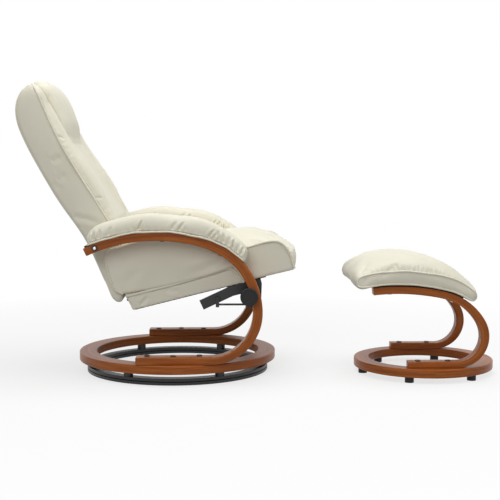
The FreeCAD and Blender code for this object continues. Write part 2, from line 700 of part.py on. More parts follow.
def back_form():
    """The back's rear form as a full solid: flat to the seam in front, crowned behind."""
    sections = []
    for share, rear, seam, wide in BACK_SHARES:
        s = back_run(share)
        half = BACK_HALF_WIDTH * wide
        deep = BACK_DEPTH * (seam - rear)
        front_t = BACK_DEPTH * seam
        corner_t = BACK_DEPTH * rear + deep * BACK_CORNER_SHARE
        corner_y = half - deep * BACK_CORNER_SHARE
        crown_t = BACK_DEPTH * rear - deep * BACK_REAR_CROWN_SHARE
        waist_t = (front_t + corner_t) / 2
        waist_y = half - deep * BACK_CORNER_SHARE * BACK_CORNER_SHARE
        sections.append(Part.Wire([
            line(back_at(s, front_t, -half), back_at(s, front_t, half)),
            arc(back_at(s, front_t, half), back_at(s, waist_t, waist_y), back_at(s, corner_t, corner_y)),
            arc(back_at(s, corner_t, corner_y), back_at(s, crown_t, 0), back_at(s, corner_t, -corner_y)),
            arc(back_at(s, corner_t, -corner_y), back_at(s, waist_t, -waist_y), back_at(s, front_t, -half))]))
    return loft(sections)


def pocket_block(behind, ahead):
    """The room that the hidden frame takes in the back, from a depth behind the pivot to one ahead of it."""
    half = BACK_FRAME_HALF_WIDTH + PIVOT_PLATE_THICKNESS + SEAT_GAP
    low = -BACK_FRAME_BELOW - HINGE_LEAF_THICKNESS - SEAT_GAP
    return back_block(low, BACK_FRAME_ABOVE + SEAT_GAP, -behind, ahead, -half, half)


def back_body():
    """The upholstered rear shell of the back, hollowed for its frame."""
    shell = back_form()
    shell = shell.cut(pocket_block(POCKET_REAR, BACK_DEPTH))
    passage = rod(PIVOT_BUSH_RADIUS + SEAT_GAP, PIVOT, 0, FRAME_OUTER_Y)
    shell = shell.cut(passage).cut(other_side(passage))
    for y in (HINGE_Y, -HINGE_Y):
        slot = HINGE_LEAF_WIDTH / 2 + SEAT_GAP
        rear, front = back_stem(SEAT_GAP)
        low = -BACK_BELOW_PIVOT - CUT_OVERRUN
        shell = shell.cut(back_block(low, -BACK_FRAME_BELOW, rear, front, y - slot, y + slot))
    keep("back_shell", largest(shell))


def largest(shape):
    """The main solid of a cut."""
    return max(shape.Solids, key=lambda solid: solid.Volume)


def back_stem(clearance):
    """The depths between which the hinge's stem stands."""
    middle = hinge_in_back()[1]
    return (middle - HINGE_LEAF_THICKNESS / 2 - clearance, middle + HINGE_LEAF_THICKNESS / 2 + clearance)


def hinge_in_back():
    """The hinge pin's place in the back's own directions."""
    angle = math.radians(BACK_LEAN_ANGLE)
    reach = HINGE - PIVOT
    cosine, sine = math.cos(angle), math.sin(angle)
    return (reach.z * cosine - reach.x * sine, reach.x * cosine + reach.z * sine)


def back_cushions():
    """The front cushion with its side bolsters, and the headrest pillow on it."""
    sections = []
    for share, crest, wide in BACK_CUSHION_SHARES:
        s = back_run(share)
        seam = shares_between(BACK_SHARES, share)[1]
        half = BACK_HALF_WIDTH * wide - CUSHION_SETBACK
        rear_t = BACK_DEPTH * seam - CUSHION_TUCK
        crest_t = BACK_DEPTH * crest
        centre_t = BACK_DEPTH * (seam + (crest - seam) * CUSHION_CENTRE_SHARE)
        crest_y = half * BOLSTER_CREST_SHARE
        inner_y = half * BOLSTER_INNER_SHARE
        side_y = (half + crest_y) / 2 + (half - crest_y) * PAD_SHOULDER_SHARE
        side_t = rear_t + (crest_t - rear_t) * PAD_CREST_SHARE * PAD_CREST_SHARE
        dip_y = (crest_y + inner_y) / 2 - SIDE_EDGE
        dip_t = (crest_t + centre_t) / 2
        sections.append(Part.Wire([
            line(back_at(s, rear_t, -half), back_at(s, rear_t, half)),
            arc(back_at(s, rear_t, half), back_at(s, side_t, side_y), back_at(s, crest_t, crest_y)),
            arc(back_at(s, crest_t, crest_y), back_at(s, dip_t, dip_y), back_at(s, centre_t, inner_y)),
            line(back_at(s, centre_t, inner_y), back_at(s, centre_t, -inner_y)),
            arc(back_at(s, centre_t, -inner_y), back_at(s, dip_t, -dip_y), back_at(s, crest_t, -crest_y)),
            arc(back_at(s, crest_t, -crest_y), back_at(s, side_t, -side_y), back_at(s, rear_t, -half))]))
    form = back_form()
    cushion = loft(sections).cut(form)
    form.translate(back_at(0, CUSHION_GAP) - PIVOT)
    pocket = pocket_block(POCKET_REAR, BACK_FRAME_DEPTH - POCKET_REAR + STRAP_THICKNESS + 2 * SEAT_GAP)
    cushion = largest(cushion.cut(form).cut(pocket))
    keep("back_cushion", cushion)
    cushion.translate(back_at(0, SEAT_GAP) - PIVOT)
    sections = []
    for share, front, wide in HEADREST_SHARES:
        s = back_run(share)
        seam = shares_between(BACK_SHARES, share)[1]
        crest = shares_between(BACK_CUSHION_SHARES, share)[0]
        centre = BACK_DEPTH * (seam + (crest - seam) * CUSHION_CENTRE_SHARE)
        rear_t = centre + HEADREST_GAP
        front_t = BACK_DEPTH * front
        half = min(HEADREST_HALF_WIDTH * wide, BACK_HALF_WIDTH * BOLSTER_INNER_SHARE
                   * shares_between(BACK_CUSHION_SHARES, share)[1] - SIDE_EDGE)
        edge_t = rear_t + (front_t - rear_t) * PAD_SHOULDER_SHARE
        brow_y = half * BOLSTER_CREST_SHARE
        brow_t = rear_t + (front_t - rear_t) * PAD_CREST_SHARE
        side_t = (edge_t + brow_t) / 2
        sections.append(Part.Wire([
            line(back_at(s, rear_t, -half), back_at(s, rear_t, half)),
            arc(back_at(s, rear_t, half), back_at(s, side_t, half), back_at(s, brow_t, brow_y)),
            arc(back_at(s, brow_t, brow_y), back_at(s, front_t, 0), back_at(s, brow_t, -brow_y)),
            arc(back_at(s, brow_t, -brow_y), back_at(s, side_t, -half), back_at(s, rear_t, -half))]))
    keep("headrest", largest(loft(sections).cut(cushion)))


def back_frame():
    """Plywood ladder frame in the back's pocket, with its elastic straps."""
    low, high = -BACK_FRAME_BELOW, BACK_FRAME_ABOVE
    rear_t = SEAT_GAP - POCKET_REAR
    front_t = rear_t + BACK_FRAME_DEPTH
    half = BACK_FRAME_HALF_WIDTH
    frame = back_block(low, high, rear_t, front_t, -half, half)
    middle = (low + high) / 2
    opening_y = half - BACK_RAIL
    bays = ((low + BACK_RAIL, middle - BACK_RAIL / 2), (middle + BACK_RAIL / 2, high - BACK_RAIL))
    for first, last in bays:
        bay = back_block(first, last, rear_t - CUT_OVERRUN, front_t + CUT_OVERRUN, -opening_y, opening_y)
        frame = frame.cut(bay)
    hole = rod(PIVOT_BOLT_RADIUS + RUNNING_CLEARANCE, PIVOT, half - BACK_RAIL, half + CUT_OVERRUN)
    frame = frame.cut(hole).cut(other_side(hole))
    keep("back_frame", frame)
    pitch = (high - low) / BACK_STRAP_COUNT
    straps = []
    for index in range(BACK_STRAP_COUNT):
        centre = low + pitch * (index + 0.5)
        straps.append(back_block(centre - BACK_STRAP_WIDTH / 2, centre + BACK_STRAP_WIDTH / 2, front_t,
                                 front_t + STRAP_THICKNESS, BACK_RAIL / 4 - half, half - BACK_RAIL / 4))
    keep("back_straps", *straps)


def knuckle(first, last, y):
    """One round stretch of a hinge between two shares of its width."""
    y_low = y + HINGE_LEAF_WIDTH * first + SEAT_GAP / 2
    y_high = y + HINGE_LEAF_WIDTH * last - SEAT_GAP / 2
    return rod(HINGE_KNUCKLE_RADIUS, HINGE, y_low, y_high), y_low, y_high


def hinges():
    """Two butt hinges between the back's foot and the seat's rear rail."""
    back_leaves, seat_leaves, pins = [], [], []
    ends = HINGE_KNUCKLE_SHARES
    s_pin = hinge_in_back()[0]
    stem_low, stem_high = back_stem(0)
    flange_rear = SEAT_GAP - POCKET_REAR
    tongue_low = SEAT_UNDER_HINGE_V - HINGE_LEAF_THICKNESS / 2
    for y in (HINGE_Y, -HINGE_Y):
        bore = rod(HINGE_PIN_RADIUS + RUNNING_CLEARANCE, HINGE, y - HINGE_LEAF_WIDTH, y + HINGE_LEAF_WIDTH)
        round_part, y_low, y_high = knuckle(ends[1], ends[2], y)
        stem = back_block(s_pin, -BACK_FRAME_BELOW, stem_low, stem_high, y_low, y_high)
        flange = back_block(-BACK_FRAME_BELOW - HINGE_LEAF_THICKNESS, -BACK_FRAME_BELOW, flange_rear,
                            flange_rear + BACK_FRAME_DEPTH / 2, y_low, y_high)
        back_leaves.append(round_part.fuse(stem).fuse(flange).cut(bore).removeSplitter())
        leaf = None
        for first, last in ((ends[0], ends[1]), (ends[2], ends[3])):
            round_part, y_low, y_high = knuckle(first, last, y)
            tongue = seat_block(-SEAT_REAR_FROM_HINGE_U, -HINGE_LEAF_THICKNESS, tongue_low,
                                tongue_low + HINGE_LEAF_THICKNESS, y_low, y_high)
            piece = round_part.fuse(tongue)
            leaf = piece if leaf is None else leaf.fuse(piece)
        leaf_half = HINGE_LEAF_WIDTH / 2
        plate = seat_block(-HINGE_LEAF_THICKNESS, 0, DUST_COVER_THICKNESS + HINGE_LEAF_THICKNESS,
                           SEAT_DECK - HINGE_LEAF_THICKNESS, y - leaf_half, y + leaf_half)
        seat_leaves.append(leaf.fuse(plate).cut(bore).removeSplitter())
        pins.append(rod(HINGE_PIN_RADIUS, HINGE, y - leaf_half, y + leaf_half))
    keep("back_hinge_leaves", *back_leaves)
    keep("seat_hinge_leaves", *seat_leaves)
    keep("hinge_pins", *pins)


def crease_edges(drop):
    """The underside of the side panel's wing: a shallow hollow curve, lowered by a gap."""
    rear = seat_at(WING_CORNER - WING_REAR, CREASE_V + CREASE_RISE - drop)
    low = seat_at((WING_CORNER - WING_REAR + CREASE_FRONT_U) / 2, CREASE_V - drop)
    front = seat_at(CREASE_FRONT_U, CREASE_V + CREASE_RISE - drop)
    return rear, low, front


def seat_base():
    """The seat's plywood frame with straps, dust cover and leather apron."""
    half = SEAT_CUSHION_HALF_WIDTH
    deck = SEAT_DECK
    frame = seat_block(0, SEAT_FRAME_LENGTH, DUST_COVER_THICKNESS, deck, -half, half)
    frame = frame.cut(seat_block(SEAT_RAIL, SEAT_FRAME_LENGTH - SEAT_RAIL, -CUT_OVERRUN, deck + CUT_OVERRUN,
                                 SEAT_RAIL - half, half - SEAT_RAIL))
    cover = seat_block(0, SEAT_FRAME_LENGTH, 0, DUST_COVER_THICKNESS, -half, half)
    for bolt in glide_bolts(RUNNING_CLEARANCE):
        frame = frame.cut(bolt).cut(other_side(bolt))
        cover = cover.cut(bolt).cut(other_side(bolt))
    keep("seat_frame", frame)
    keep("seat_dust_cover", cover)
    straps = []
    pitch = SEAT_FRAME_LENGTH / SEAT_STRAP_COUNT
    for index in range(SEAT_STRAP_COUNT):
        centre = pitch * (index + 0.5)
        straps.append(seat_block(centre - SEAT_STRAP_WIDTH / 2, centre + SEAT_STRAP_WIDTH / 2, deck,
                                 deck + STRAP_THICKNESS, SEAT_RAIL / 4 - half, half - SEAT_RAIL / 4))
    keep("seat_straps", *straps)
    outer = half + APRON_THICKNESS
    rear, low, front = crease_edges(SEAT_GAP)
    foot = seat_at(-APRON_REAR_THICKNESS, 0)
    toe = seat_at(CREASE_FRONT_U + CREASE_STEP - APRON_FRONT_GAP, 0)
    side_view = face([line(foot, toe), line(toe, front), arc(front, low, rear), line(rear, foot)])
    inner = half + SEAT_GAP
    room = seat_block(-HINGE_LEAF_THICKNESS - SEAT_GAP, SEAT_LENGTH, -CUT_OVERRUN, SEAT_LENGTH, -inner, inner)
    apron = across(side_view, -outer, outer).cut(room)
    for y in (HINGE_Y, -HINGE_Y):
        slot = HINGE_LEAF_WIDTH / 2 + SEAT_GAP
        apron = apron.cut(seat_block(-SEAT_LENGTH, 0, SEAT_UNDER_HINGE_V - 2 * HINGE_KNUCKLE_RADIUS,
                                     SEAT_LENGTH, y - slot, y + slot))
    keep("seat_apron", largest(apron))


def side_outline(y, inset):
    """The side panel's outline at a place across the chair, drawn in by an inset."""
    bend = WING_CORNER * (1 - math.sqrt(0.5))
    rear_u = inset - WING_REAR
    low_v = CREASE_V + CREASE_RISE + inset
    high_v = WING_TOP - CREASE_RISE - inset
    seam_v = SEAT_SEAM_HEIGHT - inset
    chin_u = SEAT_LENGTH - inset
    chin_v = DUST_COVER_THICKNESS + inset
    crease = seat_at((WING_CORNER - WING_REAR + CREASE_FRONT_U) / 2, CREASE_V + inset, y)
    rear = seat_at(rear_u + WING_CORNER, low_v, y)
    front = seat_at(CREASE_FRONT_U + inset, low_v, y)
    step = seat_at(CREASE_FRONT_U + CREASE_STEP + inset, chin_v, y)
    chin = seat_at(chin_u, chin_v, y)
    cheek = seat_at(chin_u, SEAT_SEAM_HEIGHT * NOSE_MIDDLE_SHARE, y)
    brow = seat_at(chin_u * BROW_SHARE, seam_v * BROW_SHARE, y)
    crest = seat_at(chin_u * CREST_SHARE, seam_v + SIDE_EDGE / 2, y)
    seam = seat_at(WING_SWEEP_U, seam_v, y)
    sag_v = seam_v + (WING_TOP - SEAT_SEAM_HEIGHT) * WING_SAG_SHARE
    sweep = seat_at((WING_FRONT_U + WING_SWEEP_U) / 2, sag_v, y)
    tip = seat_at(WING_FRONT_U, WING_TOP - inset, y)
    high = seat_at(rear_u + WING_CORNER, high_v, y)
    high_bend = seat_at(rear_u + bend, high_v - bend, y)
    rear_high = seat_at(rear_u, high_v - WING_CORNER, y)
    rear_low = seat_at(rear_u, low_v + WING_CORNER, y)
    low_bend = seat_at(rear_u + bend, low_v + bend, y)
    return Part.Wire([line(step, chin), arc(chin, cheek, brow), arc(brow, crest, seam), arc(seam, sweep, tip),
                      line(tip, high), arc(high, high_bend, rear_high), line(rear_high, rear_low),
                      arc(rear_low, low_bend, rear), arc(rear, crease, front), line(front, step)])


def seat_cushions():
    """The crowned seat cushion and the padded side panels that rise beside it."""
    half = SEAT_CUSHION_HALF_WIDTH
    under = SEAT_DECK + STRAP_THICKNESS
    nose_low = DUST_COVER_THICKNESS
    nose_rear = SEAT_FRAME_LENGTH + SEAT_GAP
    sections = []
    for place, crown in SEAT_CROWN_SHARES:
        y = half * place
        lift = SEAT_CROWN * crown
        bulge = SEAT_NOSE_BULGE * crown
        top = SEAT_SEAM_HEIGHT + lift
        brow = seat_at(SEAT_LENGTH * BROW_SHARE, SEAT_SEAM_HEIGHT * BROW_SHARE + lift / 2, y)
        rear_top = seat_at(SEAT_REAR_LEAN, top, y)
        chin = seat_at(SEAT_LENGTH + bulge / 2, nose_low, y)
        corners = [seat_at(SEAT_REAR_RELIEF, under, y), seat_at(nose_rear, under, y)]
        corners += [seat_at(nose_rear, nose_low, y), chin]
        edges = [line(a, b) for a, b in zip(corners, corners[1:])]
        edges.append(arc(chin, seat_at(SEAT_LENGTH + bulge, SEAT_SEAM_HEIGHT * NOSE_MIDDLE_SHARE, y), brow))
        edges.append(arc(brow, seat_at(SEAT_LENGTH * CROWN_PLACE_SHARE, top + SEAT_GAP, y), rear_top))
        edges.append(line(rear_top, corners[0]))
        sections.append(Part.Wire(edges))
    keep("seat_cushion", loft(sections))
    outlines = []
    for place, inset in SIDE_CROWN_SHARES:
        outlines.append(side_outline(SIDE_INNER_Y + SEAT_SIDE_THICKNESS * place, SIDE_EDGE * inset))
    pair("seat_side", loft(outlines))


def bracket_bolts(clearance):
    """Two short bolts that hold the glide's bracket to the frame's inner face."""
    bolts = []
    for side in (-1, 1):
        heading = KNOB_ANGLE + side * math.degrees(BRACKET_HEIGHT / 4 / KNEE_RADIUS)
        place = CHAIR_STRIP.outside(heading, -CHAIR_STRIP.thickness(heading) / 2)
        low = FRAME_INNER_Y - BRACKET_THICKNESS
        bolts.append(rod(BRACKET_BOLT_RADIUS + clearance, place, low, FRAME_MID_Y))
    return bolts


def glide_bolts(clearance):
    """Bolts up through the left bar's flange and the dust cover into the seat's frame."""
    bolts = []
    up = seat_normal()
    pitch = BAR_RUN / FLANGE_BOLT_COUNT
    grip = FLANGE_THICKNESS + DUST_COVER_THICKNESS + SEAT_FRAME_HEIGHT / 2
    for index in range(FLANGE_BOLT_COUNT):
        u = BAR_BEND_U + pitch * (index + 0.5)
        foot = seat_at(u, -FLANGE_THICKNESS, BAR_INNER_Y - FLANGE_WIDTH / 2)
        shank = Part.makeCylinder(BRACKET_BOLT_RADIUS + clearance, grip, foot, up)
        head = Part.makeCylinder(FLANGE_BOLT_HEAD, FLANGE_THICKNESS, foot - up * FLANGE_THICKNESS, up)
        bolts.append(shank.fuse(head).removeSplitter())
    return bolts


def glides():
    """On each side: bracket, clamp, stud and hand wheel on the frame; bar and rod under the seat."""
    out = CHAIR_STRIP.outward(KNOB_ANGLE)
    along = CHAIR_STRIP.forward(KNOB_ANGLE)
    half_height = along * (BRACKET_HEIGHT / 2)
    tail = KNOB_AXIS - out * (STUD_RADIUS + BRACKET_THICKNESS)
    nose = KNOB_AXIS + out * BRACKET_REACH
    stud_hole = rod(STUD_RADIUS + RUNNING_CLEARANCE, KNOB_AXIS, 0, FRAME_OUTER_Y)
    bracket = slab([tail - half_height, nose - half_height, nose + half_height, tail + half_height],
                   FRAME_INNER_Y - BRACKET_THICKNESS, FRAME_INNER_Y).cut(stud_hole)
    for bolt in bracket_bolts(RUNNING_CLEARANCE):
        bracket = bracket.cut(bolt)
    pair("clamp_bracket", bracket)
    bolts = []
    for bolt in bracket_bolts(0):
        bolts += [bolt, other_side(bolt)]
    keep("bracket_bolts", *bolts)

    low = ROD_HEIGHT - ROD_RADIUS - ROD_SLACK_DOWN
    high = ROD_HEIGHT + ROD_RADIUS + ROD_SLACK_UP
    x = KNOB_AXIS.x
    rear_x, front_x = x - CLAMP_HALF_LENGTH, x + CLAMP_HALF_LENGTH
    lip, crown = low - CLAMP_LIP, KNOB_AXIS.z + CLAMP_TOP
    corners = [at(rear_x, lip), at(front_x, lip), at(front_x, crown), at(rear_x, crown)]
    clamp = slab(corners, CLAMP_INNER_Y, CLAMP_OUTER_Y).cut(stud_hole)
    slack = ROD_RADIUS + SEAT_GAP
    window = Part.makeBox(4 * CLAMP_HALF_LENGTH, 2 * slack, high - low,
                          FreeCAD.Vector(x - 2 * CLAMP_HALF_LENGTH, ROD_Y - slack, low))
    pair("glide_clamp", clamp.cut(window))

    wheel_inner = FRAME_OUTER_Y + KNOB_STAND_OFF
    wheel_outer = wheel_inner + KNOB_THICKNESS
    wheel = rod(KNOB_RADIUS, KNOB_AXIS, wheel_inner, wheel_outer)
    wheel = softened(wheel, KNOB_EDGE, is_circle)
    dish_radius = KNOB_RADIUS - 2 * KNOB_EDGE
    wheel = wheel.cut(rod(dish_radius, KNOB_AXIS, wheel_outer - KNOB_DISH, wheel_outer + CUT_OVERRUN))
    stud_end = wheel_inner + KNOB_THICKNESS / 2
    socket = rod(STUD_RADIUS + RUNNING_CLEARANCE, KNOB_AXIS, wheel_inner - CUT_OVERRUN, stud_end)
    pair("hand_wheel", wheel.cut(socket))
    pair("wheel_stud", rod(STUD_RADIUS, KNOB_AXIS, CLAMP_INNER_Y, stud_end))

    droop = math.radians(BAR_DROOP_ANGLE)
    tail_u = BAR_BEND_U - BAR_TAIL * math.cos(droop)
    tail_v = -BAR_TAIL * math.sin(droop)
    rear_ear = at(seat_at(tail_u + EAR_SETBACK, 0).x, ROD_HEIGHT)
    leg_foot = at(seat_at(BAR_FRONT_U, 0).x - EAR_HALF, ROD_HEIGHT)
    half_leg = at(LEG_WIDTH / 2, 0)
    leg_sole = leg_foot - Z_AXIS * EAR_HEIGHT
    corners = [seat_at(tail_u, tail_v)]
    corners.append(seat_at(tail_u + BAR_DEPTH * math.sin(droop), tail_v - BAR_DEPTH * math.cos(droop)))
    corners.append(seat_at(BAR_BEND_U + BAR_DEPTH * math.tan(droop / 2), -BAR_DEPTH))
    corners.append(seat_at(BAR_FRONT_U - 2 * LEG_WIDTH, -BAR_DEPTH))
    corners += [leg_sole - half_leg, leg_sole + half_leg, seat_at(BAR_FRONT_U, -BAR_DEPTH / 2)]
    corners += [seat_at(BAR_FRONT_U, 0), seat_at(BAR_BEND_U, 0)]
    bar = slab(corners, BAR_INNER_Y, BAR_OUTER_Y)
    ear_end = ROD_Y + ROD_RADIUS + SEAT_GAP
    for ear, rise in ((rear_ear, EAR_RISE), (leg_foot, EAR_HEIGHT)):
        low_x, high_x = ear.x - EAR_HALF, ear.x + EAR_HALF
        low_z, high_z = ear.z - EAR_HEIGHT, ear.z + rise
        corners = [at(low_x, low_z), at(high_x, low_z), at(high_x, high_z), at(low_x, high_z)]
        bar = bar.fuse(slab(corners, BAR_OUTER_Y, ear_end))
    flange_inner = BAR_INNER_Y - FLANGE_WIDTH
    bar = bar.fuse(seat_block(BAR_BEND_U, BAR_FRONT_U, -FLANGE_THICKNESS, 0, flange_inner, BAR_INNER_Y))
    start = FreeCAD.Vector(rear_ear.x - EAR_HALF, ROD_Y, ROD_HEIGHT)
    length = leg_foot.x + EAR_HALF - start.x
    before = start - X_AXIS * CUT_OVERRUN
    bar = bar.cut(Part.makeCylinder(ROD_RADIUS + RUNNING_CLEARANCE, length + 2 * CUT_OVERRUN, before, X_AXIS))
    for bolt in glide_bolts(RUNNING_CLEARANCE):
        bar = bar.cut(bolt)
    pair("glide_bar", bar)
    pair("glide_rod", Part.makeCylinder(ROD_RADIUS, length, start, X_AXIS))
    bolts = glide_bolts(0)
    keep("glide_bolts", *(bolts + [other_side(bolt) for bolt in bolts]))


def pair(name, shape, middle=0.0):
    """Write a piece of the left side and its mirror image on the right."""
    keep(name + "_left", shape)
    keep(name + "_right", other_side(shape, middle))


def stool_base():
    """The stool's wooden ring on its feet, and the two bentwood frames."""
    wood = ring(STOOL_RING_RADIUS, STOOL_RING_BORE, STOOL_FOOT_HEIGHT, STOOL_RING_THICKNESS, STOOL_X, STOOL_Y)
    wood = softened(wood, BASE_RING_EDGE, is_circle)
    outer = STOOL_Y + STOOL_FRAME_OUTER
    strip = across(STOOL_STRIP.section(), outer - STOOL_FRAME_WIDTH, outer)
    for shank in foot_shanks(STOOL_STRIP, stool_bolt_places()):
        wood = wood.cut(shank)
        strip = strip.cut(shank)
    for screw in stool_screws(RUNNING_CLEARANCE):
        strip = strip.cut(screw)
    keep("stool_ring", wood)
    pair("stool_frame", strip, STOOL_Y)
    foot_bolts("stool_foot_bolts", STOOL_STRIP, stool_bolt_places())
    feet = []
    for step in range(STOOL_FOOT_COUNT):
        angle = 2 * math.pi * step / STOOL_FOOT_COUNT + math.radians(STOOL_FOOT_TURN_ANGLE)
        x = STOOL_X + STOOL_FOOT_CIRCLE * math.cos(angle)
        y = STOOL_Y + STOOL_FOOT_CIRCLE * math.sin(angle)
        feet.append(Part.makeCylinder(STOOL_FOOT_RADIUS, STOOL_FOOT_HEIGHT, FreeCAD.Vector(x, y, 0)))
    keep("stool_feet", *feet)


def stool_screws(clearance):
    """The screws from the stool's left frame through its strip into the board."""
    reach = STOOL_STRIP_THICKNESS + STOOL_BOARD_THICKNESS / 2
    return strip_screws(STOOL_STRIP, STOOL_SCREW_ANGLES, STOOL_FRAME_MID_Y, reach, clearance)


def stool_top():
    """Steel strips, curved board and crowned cushion of the stool."""
    end = STOOL_STRIP.end_heading
    strip = across(STOOL_STRIP.plank(STOOL_STRIP_FRONT_ANGLE, end, 0.0, STOOL_STRIP_THICKNESS),
                   STOOL_FRAME_MID_Y - STOOL_STRIP_WIDTH / 2, STOOL_FRAME_MID_Y + STOOL_STRIP_WIDTH / 2)
    front = STOOL_BOARD_FRONT_ANGLE
    rear = STOOL_STRIP.heading_before_end(STOOL_BOARD_MARGIN)
    base = STOOL_STRIP_THICKNESS
    half = STOOL_BOARD_HALF_WIDTH
    board = STOOL_STRIP.plank(front, rear, base, STOOL_BOARD_THICKNESS)
    board = across(board, STOOL_Y - half, STOOL_Y + half)
    for hole in stool_screws(RUNNING_CLEARANCE):
        strip = strip.cut(hole)
        board = board.cut(hole).cut(other_side(hole, STOOL_Y))
    pair("stool_strip", strip, STOOL_Y)
    keep("stool_board", board)
    screws = stool_screws(0)
    keep("stool_screws", *(screws + [other_side(screw, STOOL_Y) for screw in screws]))
    sections = []
    floor = base + SEAT_GAP
    recess_front = front - math.degrees(BOARD_SLACK / STOOL_KNEE_RADIUS)
    recess_rear = STOOL_STRIP.heading_before_end(STOOL_BOARD_MARGIN - BOARD_SLACK)
    recess = across(STOOL_STRIP.plank(recess_front, recess_rear, 0.0, floor + STOOL_BOARD_THICKNESS),
                    STOOL_Y - half - SEAT_GAP, STOOL_Y + half + SEAT_GAP)
    wide = STOOL_CUSHION_HALF_WIDTH + CUT_OVERRUN
    seat = across(STOOL_STRIP.plank(STOOL_HEEL_ANGLE, end, -STOOL_TOP_THICKNESS, STOOL_TOP_THICKNESS + floor),
                  STOOL_Y - wide, STOOL_Y + wide)
    front = STOOL_CUSHION_FRONT_ANGLE
    rear = STOOL_STRIP.heading_before_end(-STOOL_CUSHION_OVERHANG)
    middle = (front + rear) / 2
    for place, crown, reach in STOOL_CROWN_SHARES:
        y = STOOL_Y + STOOL_CUSHION_HALF_WIDTH * place
        top = floor + STOOL_CUSHION_SEAM + STOOL_CUSHION_CROWN * crown

        def spot(heading, offset, ahead=0.0):
            point = STOOL_STRIP.outside(heading, offset) - STOOL_STRIP.forward(heading) * ahead
            point.y = y
            return point

        tail = -STOOL_CUSHION_TAIL * reach
        lip = STOOL_CUSHION_LIP * reach
        bulge = floor + (top - floor) * STOOL_BULGE_SHARE
        rear_low = spot(rear, 0)
        rear_bulge = spot(rear, bulge, tail)
        rear_high = spot(rear, top * STOOL_REAR_SHARE)
        front_low = spot(front, 0)
        front_bulge = spot(front, bulge, lip)
        front_high = spot(front, top * STOOL_FRONT_SHARE)
        sections.append(Part.Wire([
            arc(front_low, spot(middle, 0), rear_low), arc(rear_low, rear_bulge, rear_high),
            arc(rear_high, spot(middle, top), front_high), arc(front_high, front_bulge, front_low)]))
    cushion = loft(sections)
    keep("stool_cushion", largest(cushion.cut(recess).cut(seat)))


os.makedirs("parts", exist_ok=True)
swivel_base()
side_frames()
arms()
recline_pivots()
back_body()
back_cushions()
back_frame()
hinges()
seat_base()
seat_cushions()
glides()
stool_base()
stool_top()
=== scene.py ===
"""Looks of a swivel recliner with its footstool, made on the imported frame.

Lengths are metres in the frame of the CAD model: X towards the footstool, Y away from
the viewer, Z up. Each sub-assembly is a class that makes its soft pieces and dresses its
hard ones.
"""

import logging
import math
from dataclasses import dataclass, replace
from enum import Enum
from typing import Callable, Sequence

import bmesh
import bpy
import numpy as np
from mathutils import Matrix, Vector, noise
from mathutils.bvhtree import BVHTree


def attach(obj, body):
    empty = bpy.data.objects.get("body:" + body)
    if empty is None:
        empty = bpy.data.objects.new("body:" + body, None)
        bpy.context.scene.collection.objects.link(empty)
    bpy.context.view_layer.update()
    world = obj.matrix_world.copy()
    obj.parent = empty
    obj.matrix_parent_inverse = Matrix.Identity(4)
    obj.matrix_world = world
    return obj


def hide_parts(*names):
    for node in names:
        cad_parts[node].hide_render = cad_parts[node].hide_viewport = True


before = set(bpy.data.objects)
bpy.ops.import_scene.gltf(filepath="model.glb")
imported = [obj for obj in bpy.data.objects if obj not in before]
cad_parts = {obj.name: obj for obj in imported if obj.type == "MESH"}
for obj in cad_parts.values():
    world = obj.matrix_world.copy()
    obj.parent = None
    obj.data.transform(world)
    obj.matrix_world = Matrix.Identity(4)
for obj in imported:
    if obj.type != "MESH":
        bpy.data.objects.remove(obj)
LOG = logging.getLogger("recliner")
MERGE = 1e-5

Colour = tuple[float, float, float]
Line = Sequence[Vector]
Places = tuple[tuple[float, ...], ...]
BMesh = bmesh.types.BMesh
Material = bpy.types.Material
Node = bpy.types.Node
Object = bpy.types.Object
Socket = bpy.types.NodeSocket


class Slot(Enum):
    """The record's material slots."""

    LEATHER = "ivory_leather"
    WOOD = "cherry_wood"
    PLY = "plywood"
    STEEL = "black_steel"
    BEARING = "bearing_steel"
    BRIGHT = "bright_steel"
    FABRIC = "black_fabric"
    PLASTIC = "black_plastic"


class Side(Enum):
    """The two sides of the chair, by the sign of Y."""

    LEFT = 1
    RIGHT = -1

    @property
    def word(self) -> str:
        """Gives the side as used in node names.

        Returns:
            The word, left or right.
        """
        return self.name.lower()


class Swell(Enum):
    """How a soft piece gets its filled form."""

    CLOTH = "cloth"
    SCULPT = "sculpt"


# ---------------------------------------------------------------- places


@dataclass(frozen=True)
class Slope:
    """A sloping frame in the chair's middle plane.

    Attributes:
        x: Origin along X.
        z: Origin along Z.
        angle: Turn of the first axis from X, in degrees.
    """

    x: float
    z: float
    angle: float

    def point(self, a: float, b: float, y: float = 0.0) -> Vector:
        """Places a point.

        Args:
            a: Distance along the first axis.
            b: Distance along the second axis.
            y: Distance across the chair.

        Returns:
            The point in the shared frame.
        """
        c, s = math.cos(math.radians(self.angle)), math.sin(math.radians(self.angle))
        return Vector((self.x + a * c - b * s, y, self.z + a * s + b * c))

    def line(self, places: Places, y: float) -> list[Vector]:
        """Places a line.

        Args:
            places: Distances along the two axes, and where they differ a factor for y.
            y: Distance across the chair.

        Returns:
            The points in the shared frame.
        """
        return [self.point(a, b, y * (factor[0] if factor else 1.0)) for a, b, *factor in places]

    def local(self, points: np.ndarray) -> tuple[np.ndarray, np.ndarray, np.ndarray]:
        """Reads points in this frame.

        Args:
            points: Rows of shared-frame points.

        Returns:
            The distances along the first axis, the second axis and across.
        """
        c, s = math.cos(math.radians(self.angle)), math.sin(math.radians(self.angle))
        x, z = points[:, 0] - self.x, points[:, 2] - self.z
        return x * c + z * s, z * c - x * s, points[:, 1]


